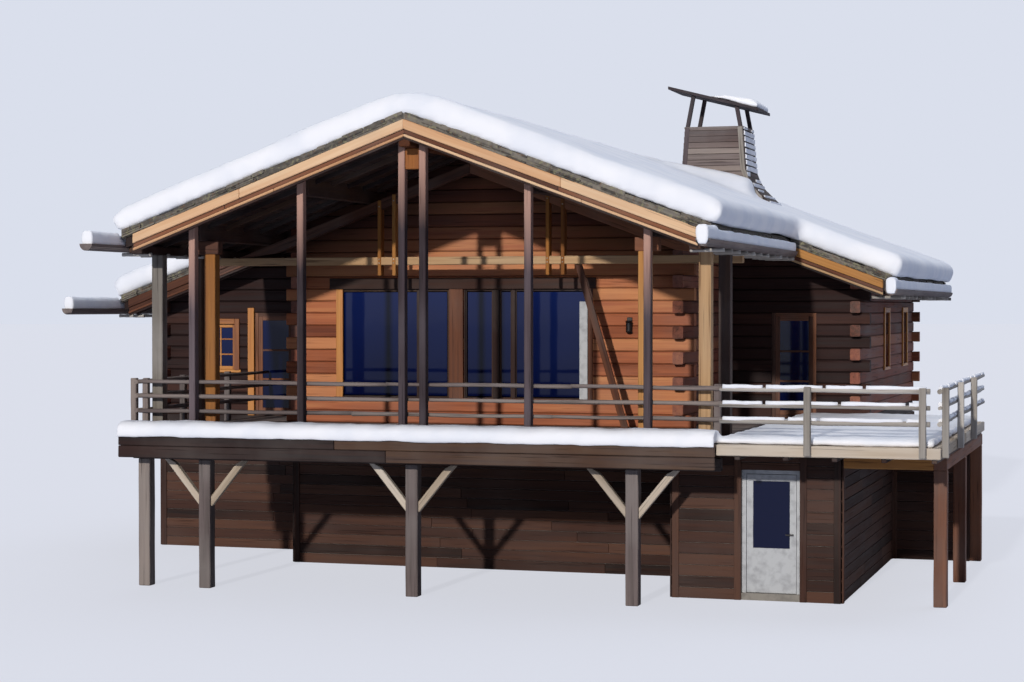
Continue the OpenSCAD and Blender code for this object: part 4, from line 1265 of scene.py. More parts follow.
    def eave_slab(self, side: int, edge: float, a: float, b: float, layer: int) -> bpy.types.Object:
        """Lay one slab whose ragged edge faces the eaves.

        Args:
            side: Left (-1) or right (1) of the ridge.
            edge: The eaves' distance from the ridge.
            a: The y at which it starts.
            b: The y at which it ends.
            layer: Its layer, from 0 for the lowest.

        Returns:
            The slab.
        """
        x0, x1 = mirrored(side, edge - self.ragged(layer), edge - self.slab_deep)
        low, high = (x0, a, self.level(layer)), (x1, b, self.level(layer + 1) - 0.004)
        return follow_roof(SLAB.cut(low, high, Lie.INWARD, self.chipped))

    def ragged(self, layer: int) -> float:
        """Return how far a slab of this layer happens to lie behind the roof's edge."""
        return RNG.uniform(0.0, self.stray) + 0.008 * layer

    def top(self, layer: int) -> float:
        """Return the top of a verge slab, uneven in the uppermost layer."""
        uneven = RNG.uniform(0.0, self.stray) if layer == self.slab_layers - 1 else 0.0
        return self.level(layer + 1) - 0.004 + uneven

    def level(self, layer: int) -> float:
        """Return the height of the foot of a layer of slabs over the boards' underside."""
        return PLAN.boards + layer * (PLAN.stone - 0.012) / self.slab_layers


@dataclass
class Gutters:
    """Hollowed larch logs along the eaves, each on a row of peeled arms."""

    radius: float = 0.12
    lift: float = 0.04
    arm: float = 0.065
    arm_step: float = 0.75
    arm_back: float = 0.35

    def build(self) -> None:
        """Make the gutters and the arms that carry them."""
        item = copy_node("gutters")
        mark_grain(item.data, coordinates(item.data)[:, [1, 0, 2]])
        item.data.polygons.foreach_set("use_smooth", [len(f.vertices) == 4 for f in item.data.polygons])
        Pile("log_gutters", Finish.TIMBER_GREY, "grey_wood", ("gutters",)).join(item)
        arms = Pile("gutter_arms", Finish.TIMBER_SILVER, "pale_wood")
        for side in (1, -1):
            wing = PLAN.wing_verge(side)
            for run, y0, y1 in ((PLAN.eave, PLAN.verge + 0.3, wing - 0.4),
                                (PLAN.wing_run(side), wing + 0.2, PLAN.back - 0.2)):
                x0, x1 = mirrored(side, run - self.arm_back, run + 2 * self.radius - 0.02)
                z = PLAN.roof(run) + self.lift - self.radius - 0.035
                for y in spread(y0, y1, self.arm_step):
                    arms.add(POLE.lay((x0, y, z), (x1, y, z), self.arm, self.arm, 0.002))
        arms.join()


@dataclass
class VerandaFrame:
    """Tall slender posts, thick posts behind them, purlins, truss and leaning plank."""

    slim: float = 0.12
    slim_deep: float = 0.16
    twin: float = 0.19
    block: float = 0.36
    thick: float = 0.21
    inner: float = 4.0
    outer: float = 5.04
    head_block: float = 0.24
    purlin_wide: float = 0.2
    purlin_deep: float = 0.24
    eave_purlin: float = 0.15
    tie: float = 0.15
    truss_thick: float = 0.16
    rafter: float = 0.2
    hanger: float = 1.65
    hanger_gap: float = 0.29
    hanger_wide: float = 0.07
    peg: float = 0.026
    plank_run: Point = (0.89, 0.0, -3.03)
    rows: tuple[float, float] = (PLAN.posts + 0.45, PLAN.posts + 2.1)

    def build(self) -> None:
        """Make the frame timber by timber."""
        self.front_posts()
        self.thick_posts()
        self.purlins()
        self.truss()
        self.plank()

    def head(self, x: float) -> float:
        """Return the underside of the purlin at x."""
        return PLAN.roof(abs(x) + self.purlin_wide / 2) - self.purlin_deep

    def ridge_head(self) -> float:
        """Return the underside of the ridge purlin."""
        return PLAN.ridge - PLAN.fall * self.purlin_wide / 2 - self.purlin_deep

    def eave_head(self) -> float:
        """Return the underside of the purlins that lie near the eaves."""
        return PLAN.roof(self.outer + self.purlin_wide / 2) - self.eave_purlin

    def under_boards(self, item: bpy.types.Object) -> bpy.types.Object:
        """Cut a timber's top to the slope of the roof boards.

        Args:
            item: The timber.

        Returns:
            The same timber.
        """
        points = coordinates(item.data)
        points[:, 2] = np.minimum(points[:, 2], PLAN.ridge - PLAN.fall * np.abs(points[:, 0]) - 0.001)
        set_coordinates(item.data, points)
        return item

    def front_posts(self) -> None:
        """Stand the tall posts, the twin pair joined by a block at their heads."""
        pile = Pile("tall_posts", Finish.POSTS_SLATE, "grey_wood", ("front_posts",))
        half, deep = self.slim / 2, self.slim_deep / 2
        for x in [k * PLAN.post_bay for k in (-2, -1, 1, 2)] + [-self.twin, self.twin]:
            low = (x - half, PLAN.posts - deep, PLAN.storey)
            high = (x + half, PLAN.posts + deep, PLAN.roof(abs(x) - half))
            pile.add(self.under_boards(BEAM.cut(low, high, Lie.UPRIGHT)))
        pile.join()
        top = self.ridge_head()
        low = (-self.twin + half, PLAN.posts - 0.053, top - self.block)
        high = (self.twin - half, PLAN.posts + 0.053, top)
        Pile("head_block", Finish.TIMBER_RUST, "post_wood").join(BEAM.cut(low, high))

    def thick_posts(self) -> None:
        """Stand the thick posts: an inner pair with head blocks, and two under each eaves purlin."""
        pile = Pile("thick_larch_posts", Finish.TIMBER_ORANGE, "post_wood", ("thick_posts",))
        blocks = Pile("head_blocks", Finish.BOARDS_BROWN, "board_wood")
        left = Pile("eaves_post_left", Finish.TIMBER_SILVER, "grey_wood")
        right = Pile("eaves_post_right", Finish.TIMBER_HONEY, "tan_wood")
        # The posts behind are dark wood as painted shade.
        behind = Pile("eaves_posts_behind", Finish.TIMBER_DARK, "dark_wood")
        half, y = self.thick / 2, self.rows[0]
        head = self.head(2 * PLAN.post_bay)
        under = head - self.head_block
        for side in (-1, 1):
            x = side * self.inner
            pile.add(BEAM.cut((x - half, y - half, PLAN.storey), (x + half, y + half, under)))
            x0, x1 = mirrored(side, self.inner - half - 0.06, 2 * PLAN.post_bay + self.purlin_wide / 2)
            blocks.add(BEAM.cut((x0, y - half, under), (x1, y + half, head), Lie.ACROSS))
        foot = self.eave_head()
        for side, front in ((-1, left), (1, right)):
            for y, posts in zip(self.rows, (front, behind)):
                x = side * self.outer
                posts.add(BEAM.cut((x - half, y - half, PLAN.storey), (x + half, y + half, foot)))
        join_all(pile, blocks, left, right, behind)

    def purlins(self) -> None:
        """Lay the purlins from the verge into the front wall, and their ends past the rear wall."""
        pile = Pile("squared_purlins", Finish.TIMBER_DARK, "dark_wood", ("purlins",))
        ridge = Pile("ridge_purlin", Finish.TIMBER_RUST, "post_wood")
        half = self.purlin_wide / 2
        for y0, y1 in ((PLAN.verge, PLAN.front), (PLAN.rear, PLAN.back)):
            start = PLAN.posts + self.slim_deep / 2 if y0 == PLAN.verge else y0
            for k in (-2, -1, 1, 2):
                x = k * PLAN.post_bay
                low, high = (x - half, start, self.head(x)), (x + half, y1, PLAN.roof(abs(x) - half))
                pile.add(self.under_boards(BEAM.cut(low, high, Lie.INWARD)))
            top = PLAN.roof(half) - 0.0005
            ridge.add(BEAM.cut((-half, y0, self.ridge_head()), (half, y1, top), Lie.INWARD))
        ridge.join()
        foot = self.eave_head()
        for side, stop in ((-1, PLAN.left_front), (1, PLAN.right_front)):
            x = side * self.outer
            high = (x + half, stop, foot + self.eave_purlin)
            pile.add(BEAM.cut((x - half, PLAN.verge, foot), high, Lie.INWARD))
        pile.join()

    def truss(self) -> None:
        """Frame the truss: tie beam, two principal rafters, two pairs of hangers, and pegs."""
        low = self.eave_head() - self.tie
        top = low + self.tie
        reach, foot = self.outer + self.thick / 2, self.outer - self.thick / 2
        y0, y1 = PLAN.truss - self.truss_thick / 2, PLAN.truss + self.truss_thick / 2
        Pile("tie_beam", Finish.TIMBER_HONEY, "tan_wood").join(BEAM.cut((-reach, y0, low), (reach, y1, top)))
        rise = -self.purlin_deep - PLAN.fall * self.purlin_wide
        far = min(foot, (PLAN.ridge + rise - low - self.tie) / PLAN.fall)
        rafters = Pile("truss_rafters", Finish.BOARDS_BROWN, "board_wood", ("roof_truss",))
        hangers = Pile("truss_hangers", Finish.TIMBER_ORANGE, "post_wood")
        pegs = Pile("truss_pegs", Finish.TIMBER_PALE, "pale_wood")
        half, thin = self.hanger_wide / 2, self.peg / 2
        for side in (-1, 1):
            x0, x1 = mirrored(side, 0.0, far)
            rafter = BEAM.cut((x0, y0 + 0.005, rise - self.rafter), (x1, y1 - 0.005, rise), Lie.ACROSS)
            rafters.add(trim(follow_roof(rafter), low=top - 0.01))
            for gap in (-self.hanger_gap / 2, self.hanger_gap / 2):
                x = side * (self.hanger + gap)
                head = PLAN.roof(x) + rise - 0.01
                hangers.add(BEAM.cut((x - half, y0 - 0.012, low - 0.2), (x + half, y1 + 0.012, head)))
                for z in (low + 0.04, low + 0.11, head - 0.12):
                    corner = (x - thin, y0 - self.peg, z - thin)
                    pegs.add(BOARD.cut(corner, (x + thin, y0 + 0.01, z + thin), Lie.INWARD))
        join_all(rafters, hangers, pegs)

    def plank(self) -> None:
        """Ease the edges of the leaning plank, with its grain along its slope."""
        item = copy_node("leaning_plank")
        apply_modifier(item, "BEVEL", width=0.006, segments=1)
        points = coordinates(item.data)
        axis = np.array(self.plank_run)
        axis /= np.linalg.norm(axis)
        side = np.array([-axis[2], 0.0, axis[0]])
        mark_grain(item.data, np.stack([points @ axis, points @ side, points[:, 1]], axis=1))
        Pile("leaning_board", Finish.BOARDS_BROWN, "board_wood", ("leaning_plank",)).join(item)


@dataclass
class Deck:
    """Support posts and braces, bearer, joists, laid boards, edge beams and terrace planks."""

    board: float = 0.05
    plank: float = 0.145
    gap: float = 0.008
    joist: float = 0.2
    joist_wide: float = 0.09
    joist_step: float = 0.8
    bearer: float = 0.22
    support: float = 0.22
    reach: float = 0.8
    drop: float = 0.82
    brace: float = 0.12
    edge: float = 0.06
    hewn: float = 0.003

    def build(self) -> None:
        """Make the deck from the ground up."""
        self.supports()
        self.under_floor()
        self.floors()
        self.edges()

    def supports(self) -> None:
        """Stand the support posts, with a brace to each side of the inner ones."""
        pile = Pile("deck_supports", Finish.TIMBER_GREY, "grey_wood", ("support_posts",))
        braces = Pile("deck_braces", Finish.TIMBER_PALE, "pale_wood", ("support_braces",))
        top = PLAN.storey - self.board - self.joist - self.bearer
        half = self.support / 2
        for x in (-PLAN.deck_left + self.support, -PLAN.hall, 0.0, PLAN.hall):
            low, high = (x - half, PLAN.posts - half, 0.0), (x + half, PLAN.posts + half, top)
            pile.add(BEAM.cut(low, high, None, self.hewn))
            if x >= -PLAN.hall:
                braces.add(self.strut(x, -1, top), self.strut(x, 1, top))
        join_all(pile, braces)

    def strut(self, x: float, side: int, top: float) -> bpy.types.Object:
        """Set one brace between a post and the bearer.

        Args:
            x: The middle of the post.
            side: Left (-1) or right (1) of the post.
            top: The underside of the bearer.

        Returns:
            The brace.
        """
        low = Vector((x + side * self.support / 2, PLAN.posts, top - self.drop + 0.085))
        high = Vector((x + side * (self.reach - 0.085), PLAN.posts, top))
        long = (high - low).length + 0.14
        middle = (low + high) / 2
        turn = math.degrees(math.atan2(high.z - low.z, high.x - low.x))
        half = self.brace / 2
        item = BEAM.cut((middle.x - long / 2, PLAN.posts - half + 0.002, middle.z - half),
                        (middle.x + long / 2, PLAN.posts + half - 0.002, middle.z + half), Lie.ACROSS)
        return trim(slant(item, tuple(middle), -turn, "Y"), high=top)

    def under_floor(self) -> None:
        """Lay the bearer and the joists on it."""
        pile = Pile("bearer_and_joists", Finish.TIMBER_DARK, "dark_wood", ("deck_bearers", "deck_joists"))
        z, wide = PLAN.storey - self.board - self.joist, self.joist_wide
        half = self.support / 2
        low = (-PLAN.deck_left, PLAN.posts - half, z - self.bearer)
        pile.add(BEAM.cut(low, (PLAN.deck_right, PLAN.posts + half, z), Lie.ACROSS, self.hewn))
        for x in spread(-PLAN.deck_left, PLAN.annex_left - wide, self.joist_step):
            stop = PLAN.left_front if abs(x + wide / 2) > PLAN.hall else PLAN.front
            pile.add(BEAM.cut((x, PLAN.deck, z), (x + wide, stop, z + self.joist), Lie.INWARD))
        for x in spread(PLAN.annex_left + 0.6, PLAN.terrace_right - wide, self.joist_step):
            high = (x + wide, PLAN.right_front, z + self.joist)
            pile.add(BEAM.cut((x, PLAN.terrace, z), high, Lie.INWARD))
        pile.join()

    def floors(self) -> None:
        """Lay the boards of the deck and of the terrace across the joists."""
        deck = Pile("laid_deck", Finish.TIMBER_GREY, "grey_wood", ("deck_boards",))
        terrace = Pile("laid_terrace", Finish.TIMBER_PALE, "pale_wood", ("terrace_boards",))
        for y in np.arange(PLAN.deck, PLAN.left_front - 0.01, self.plank):
            stop = PLAN.deck_right if y + self.plank - self.gap < PLAN.front + 0.1 else -PLAN.hall
            self.row(deck, -PLAN.deck_left, stop, y, PLAN.left_front)
        for y in np.arange(PLAN.front, PLAN.right_front - 0.01, self.plank):
            self.row(deck, PLAN.hall, PLAN.deck_right, y, PLAN.right_front)
        for y in np.arange(PLAN.terrace, PLAN.right_front - 0.01, self.plank):
            self.row(terrace, PLAN.deck_right, PLAN.terrace_right, y, PLAN.right_front)
        join_all(deck, terrace)

    def row(self, pile: Pile, x0: float, x1: float, y: float, wall: float) -> None:
        """Lay one row of boards, narrower where it meets the wall.

        Args:
            pile: The pile that takes the boards.
            x0: Left end of the row.
            x1: Right end of the row.
            y: Front edge of the row.
            wall: The y of the wall's face.
        """
        rear = min(y + self.plank - self.gap, wall)
        if rear - y < 0.03:
            return
        for a, b in lengths(x0, x1, 2.4, 4.2):
            sink = RNG.uniform(0.0, 0.004)
            pile.add(BOARD.cut((a, y, PLAN.storey - self.board), (b, rear, PLAN.storey - sink), Lie.ACROSS))

    def edges(self) -> None:
        """Set the edge beams of the deck and the edge planks of the terrace."""
        dark = Pile("edge_planks_dark", Finish.TIMBER_DARK, "dark_wood", ("deck_edge_beams",))
        foot, x0 = PLAN.storey - 0.42, -PLAN.deck_left - self.edge
        for z0, z1 in ((foot, foot + 0.206), (foot + 0.212, PLAN.storey)):
            for a, b in lengths(x0, PLAN.deck_right, 3.5, 5.5):
                dark.add(BEAM.cut((a, PLAN.deck - self.edge, z0), (b, PLAN.deck, z1), Lie.ACROSS, 0.002))
            for a, b in lengths(PLAN.deck, PLAN.left_front, 3.0, 4.0):
                dark.add(BEAM.cut((x0, a, z0), (x0 + self.edge, b, z1), Lie.INWARD, 0.002))
        dark.join()
        pale = Pile("edge_planks_pale", Finish.TIMBER_PALE, "pale_wood")
        foot, x1 = PLAN.storey - 0.18, PLAN.terrace_right + self.edge
        low, high = (PLAN.deck_right, PLAN.terrace - self.edge, foot), (x1, PLAN.terrace, PLAN.storey)
        pale.add(BEAM.cut(low, high, Lie.ACROSS, 0.002))
        for a, b in lengths(PLAN.terrace, PLAN.right_front, 3.6, 5.0):
            pale.add(BEAM.cut((PLAN.terrace_right, a, foot), (x1, b, PLAN.storey), Lie.INWARD, 0.002))
        pale.join()


@dataclass
class Railings:
    """Peeled poles on plank posts round the deck and the terrace."""

    heights: tuple[float, ...] = (0.38, 0.64, 0.9)
    thick: float = 0.085
    bow: float = 0.012
    post: float = 0.11
    post_high: float = 0.96
    seat: float = 0.012
    snow_bow: float = 0.008

    def build(self) -> None:
        """Make both railings, and the snow that lies on the terrace's rails."""
        self.deck()
        self.terrace()

    def rails(self, pile: Pile, fixed: float, low: float, high: float, inward: bool) -> None:
        """Lay three rails, each of lapped poles of uneven length.

        Args:
            pile: The pile that takes the poles.
            fixed: The y of rails that run along X, or the x of rails that run along Y.
            low: Where the rails start.
            high: Where the rails end.
            inward: Whether they run along Y.
        """
        for z in self.heights:
            level = PLAN.storey + z
            for a, b in lengths(low, high, 3.2, 5.0, -0.02):
                butt, tip = self.thick * RNG.uniform(0.9, 1.0), self.thick * RNG.uniform(0.68, 0.85)
                if RNG.random() < 0.5:
                    butt, tip = tip, butt
                drift = RNG.uniform(-0.008, 0.008)
                ends = [(a, fixed, level + drift), (min(b, high), fixed, level - drift)]
                if inward:
                    ends = [(fixed, p[0], p[2]) for p in ends]
                pile.add(POLE.lay(*ends, butt, tip, self.bow))

    def posts(
        self, pile: Pile, fixed: float, places: list[float], out: int, drop: float, inward: bool
    ) -> None:
        """Stand plank posts beside the rails.

        Args:
            pile: The pile that takes the posts.
            fixed: The y of rails that run along X, or the x of rails that run along Y.
            places: Where the posts stand along the rails.
            out: The side of the rails on which they stand.
            drop: How far they reach down from the floor.
            inward: Whether the rails run along Y.
        """
        near = self.thick / 2 - self.seat
        a, b = sorted((fixed + out * near, fixed + out * (near + self.post)))
        foot, top, half = PLAN.storey - drop, PLAN.storey + self.post_high, self.post / 2
        for p in places:
            pile.add(BEAM.cut(*wall_box(p - half, p + half, a, b, foot, top, inward), Lie.UPRIGHT, 0.003))

    def deck(self) -> None:
        """Run the deck's rails behind the tall posts and along its left side."""
        pile = Pile("deck_rails", Finish.TIMBER_GREY, "grey_wood", ("deck_railing",))
        y = PLAN.posts + 0.08 + self.thick / 2 + 0.0003
        x = -PLAN.deck_left - 0.06 + self.thick / 2 - self.seat
        start = y - self.thick / 2
        self.rails(pile, y, x + self.thick / 2, PLAN.deck_right, False)
        self.posts(pile, y, [-PLAN.deck_left + self.post, PLAN.deck_right - self.post], 1, 0.0, False)
        self.rails(pile, x, start, PLAN.left_front, True)
        self.posts(pile, x, [start + self.post + 2.0 * i for i in range(3)], -1, 0.21, True)
        pile.join()

    def terrace(self) -> None:
        """Run the terrace's rails outside its edge plank, with snow on them."""
        pile = Pile("terrace_rails", Finish.TIMBER_SILVER, "pale_wood", ("terrace_railing",))
        y = PLAN.terrace - 0.06 + self.thick / 2 - self.seat
        x = PLAN.terrace_right + 0.06 - self.thick / 2 + self.seat
        x0, x1 = PLAN.deck_right + self.post / 2, PLAN.terrace_right - self.post
        self.rails(pile, y, x0, x1, False)
        self.posts(pile, y, [PLAN.deck_right + 1.5, PLAN.terrace_right - 2 * self.post], -1, 0.16, False)
        self.rails(pile, x, PLAN.terrace + 0.06, PLAN.right_front, True)
        self.posts(pile, x, [PLAN.terrace + 0.16 + 2.6 * i for i in range(3)], 1, 0.16, True)
        pile.join()
        snow = Pile("rail_snow", Finish.SNOW, "snow")
        thick, thin = self.thick * 0.9, self.thick * 0.7
        for z in self.heights:
            level = PLAN.storey + z + self.thick * 0.55
            for a, b in lengths(x0 + 0.05, x1, 0.5, 1.5, 0.06):
                snow.add(POLE.lay((a, y, level), (b, y, level), thick, thin, self.snow_bow))
            for a, b in lengths(PLAN.terrace + 0.2, PLAN.right_front, 0.6, 1.8, 0.08):
                snow.add(POLE.lay((x, a, level), (x, b, level), thick, thin, self.snow_bow))
        snow.join()


@dataclass
class LogWalls:
    """Squared-log walls with crossing heads, whose shape is the CAD's."""

    def build(self) -> None:
        """Dress the walls by the way their logs run."""
        dress(Finish.LOGS_ACROSS, "facade_logs", "facade_piers", "rear_wall_logs")
        # The wing fronts take the darker copy of the log finish, as painted shade.
        dress(Finish.LOGS_SHADED, "wing_front_logs")
        dress(Finish.LOGS_INWARD, "hall_side_logs", "wing_side_logs")
        dress(Finish.TIMBER_DARK, "upper_floor")


@dataclass
class Windows:
    """Casings, sashes, bars and panes of the windows, and the glazed doors of the wings."""

    member: float = 0.07
    sink: float = 0.04
    deep: float = 0.09
    casing: float = 0.11
    casing_thick: float = 0.035
    bar: float = 0.028
    left: float = -3.0
    pillar: float = -0.7
    middle: float = -0.42
    right: float = 2.05
    left_mullions: tuple[tuple[float, float], ...] = ((0.725, 0.05),)
    right_mullions: tuple[tuple[float, float], ...] = ((0.262, 0.14), (0.4, 0.07))
    small_wide: float = 0.7
    wing_window: float = -6.78
    left_row: tuple[float, ...] = (-2.2, 1.1, 4.4)
    right_row: tuple[float, ...] = (1.1, 4.4)
    rear_row: tuple[float, ...] = (-5.75, -1.3, 0.6, 3.9)
    door_wide: float = 0.9
    left_door: float = -PLAN.hall - 0.9 - 0.84
    right_door: float = PLAN.hall + 0.9

    def level(self, courses: int) -> float:
        """Return the height of a log joint over the storey's floor."""
        return PLAN.storey + courses * PLAN.log

    def build(self) -> None:
        """Make frames for every opening of the frame and dress the glass."""
        frames = Pile("larch_window_frames", Finish.FRAMES, "window_wood", ("window_frames",))
        others = self.front(frames)
        low, high = self.level(4), self.level(9)
        self.small(frames, self.wing_window, PLAN.left_front, low, self.level(8), False)
        for row, wall, top, inward in ((self.left_row, PLAN.left, self.level(8), True),
                                       (self.right_row, PLAN.right, high, True),
                                       (self.rear_row, PLAN.rear, high, False)):
            for place in row:
                self.small(frames, place, wall, low, top, inward)
        face, door = PLAN.left_front, self.left_door
        self.upright(frames, door - 0.14, door, face - 0.03, face, PLAN.storey, high + 0.1)
        join_all(frames, *others)
        dress(Finish.GLASS, "window_glass")
        self.doors()

    def front(self, frames: Pile) -> tuple[Pile, ...]:
        """Frame the two wide front windows, with the pillar, boards and panel beside them.

        Args:
            frames: The pile that takes the varnished timbers.

        Returns:
            The other piles, still to be joined.
        """
        dark = Pile("front_window_frames", Finish.TIMBER_DARK, "dark_wood")
        brown = Pile("front_window_boards", Finish.BOARDS_BROWN, "board_wood")
        # The header takes the darkened boards as painted shade.
        header = Pile("front_window_header", Finish.BOARDS_SHADED, "board_wood")
        panel = Pile("pale_side_panel", Finish.DOOR_PAINT, "door_paint")
        sill, head = self.level(2), self.level(11)
        face, top = PLAN.front, head - 0.014
        windows = ((self.left, self.pillar), (self.middle, self.right))
        for (a, b), mullions in zip(windows, (self.left_mullions, self.right_mullions)):
            self.front_window(dark, a, b, sill, head, mullions)
        for a, b in windows:
            brown.add(BOARD.cut((a - 0.06, face - 0.05, sill - 0.012), (b + 0.06, face + 0.06, sill + 0.03),
                                Lie.ACROSS))
        low, high = (self.left - 0.15, face - 0.035, head - 0.01), (self.right + 0.15, face, head + 0.2)
        header.add(BOARD.cut(low, high, Lie.ACROSS))
        self.upright(brown, self.pillar, self.middle, face - 0.03, face, sill, top)
        self.upright(frames, self.left - 0.02, self.left + 0.12, face - 0.02, face + 0.03, sill, top)
        edge = self.right
        self.upright(brown, edge, edge + 0.09, face - 0.03, face, sill, top)
        self.upright(panel, edge - 0.19, edge - 0.03, face + 0.05, face + 0.07, sill + 0.03, head - 0.25)
        return dark, brown, header, panel

    def upright(
        self, pile: Pile, u0: float, u1: float, near: float, far: float, z0: float, z1: float
    ) -> None:
        """Add one upright member to a wall that runs along X."""
        nail(pile, u0, u1, near, far, z0, z1, False, True)

    def ring(self, pile: Pile, a: float, b: float, z0: float, z1: float, wide: float,
             near: float, far: float, inward: bool = False) -> None:
        """Frame an opening with two stiles and two rails.

        Args:
            pile: The pile that takes the timbers.
            a: Left side of the opening, or its front side if inward.
            b: Its other side.
            z0: Foot of the opening.
            z1: Head of the opening.
            wide: Width of each member.
            near: The lower of the frame's two faces.
            far: The higher of the frame's two faces.
            inward: Whether the wall runs along Y.
        """
        for u0, u1 in ((a, a + wide), (b - wide, b)):
            nail(pile, u0, u1, near, far, z0, z1, inward, True)
        for w0, w1 in ((z0, z0 + wide), (z1 - wide, z1)):
            nail(pile, a + wide, b - wide, near, far, w0, w1, inward)

    def front_window(self, pile: Pile, a: float, b: float, z0: float, z1: float,
                     mullions: tuple[tuple[float, float], ...]) -> None:
        """Frame a wide front window: fixed frame, mullions, and a leaf in each bay.

        Args:
            pile: The pile that takes the timbers.
            a: Left side of the opening.
            b: Right side of the opening.
            z0: Sill of the opening.
            z1: Head of the opening.
            mullions: Place, as a share of the width, and width of each mullion.
        """
        near = PLAN.front + self.sink
        far = near + self.deep
        slim, leaf = 0.03, 0.022
        self.ring(pile, a, b, z0, z1, slim, near, far)
        edges = [a + slim]
        for share, wide in mullions:
            place = a + share * (b - a)
            u0, u1 = place - wide / 2, place + wide / 2
            self.upright(pile, u0, u1, near - 0.015, far, z0 + slim, z1 - slim)
            edges += [u0, u1]
        edges.append(b - slim)
        for left, right in zip(edges[::2], edges[1::2]):
            self.ring(pile, left + 0.003, right - 0.003, z0 + slim, z1 - slim, leaf, near + 0.012, far - 0.02)

    def small(self, pile: Pile, a: float, wall: float, z0: float, z1: float, inward: bool) -> None:
        """Frame a small window with casing boards, a sash and crossing bars.

        Args:
            pile: The pile that takes the timbers.
            a: Left side of the opening, or its front side if inward.
            wall: The wall's outer face, by its y, or by its x if inward.
            z0: Sill of the opening.
            z1: Head of the opening.
            inward: Whether the wall runs along Y.
        """
        b, half, edge = a + self.small_wide, self.bar / 2, self.casing
        out = -1 if wall in (PLAN.left_front, PLAN.left) else 1
        near = wall - PLAN.log_thick + self.sink if out > 0 else wall + self.sink
        far = near + self.deep
        self.ring(pile, a, b, z0, z1, self.member, near, far, inward)
        middle, centre = (near + far) / 2, (a + b) / 2
        nail(pile, centre - half, centre + half, middle - 0.024, middle + 0.024,
             z0 + self.member, z1 - self.member, inward, True)
        for share in (1 / 3, 2 / 3):
            z = z0 + share * (z1 - z0)
            nail(pile, a + self.member, b - self.member, middle - 0.022, middle + 0.022,
                 z - half, z + half, inward)
        face, front = sorted((wall, wall + out * self.casing_thick))
        for u0, u1, w0, w1, upright in (
            (a - edge, a, z0 - 0.02, z1 + edge, True),
            (b, b + edge, z0 - 0.02, z1 + edge, True),
            (a, b, z1, z1 + edge, False),
            (a - edge - 0.03, b + edge + 0.03, z0 - 0.06, z0, False),
        ):
            nail(pile, u0, u1, face, front, w0, w1, inward, upright)

    def doors(self) -> None:
        """Make the glazed doors of the wings: frame, leaf with bars, and pane."""
        wood = Pile("glazed_door_frames", Finish.BOARDS_BROWN, "board_wood", ("terrace_door",))
        panes = Pile("glazed_door_panes", Finish.GLASS, "window_glass")
        z0, z1 = PLAN.storey, self.level(9)
        for a, wall in ((self.right_door, PLAN.right_front), (self.left_door, PLAN.left_front)):
            b, near = a + self.door_wide, wall + self.sink
            self.ring(wood, a, b, z0, z1, self.member, near, near + self.deep)
            self.ring(wood, a + self.member, b - self.member, z0 + self.member, z1 - self.member, 0.09,
                      near + 0.015, near + 0.06)
            for z in (z0 + 0.75, z0 + 1.35):
                nail(wood, a + 0.15, b - 0.15, near + 0.02, near + 0.056, z - 0.02, z + 0.02, False)
            self.upright(panes, a + 0.15, b - 0.15, near + 0.03, near + 0.045, z0 + 0.15, z1 - 0.15)
        join_all(wood, panes)


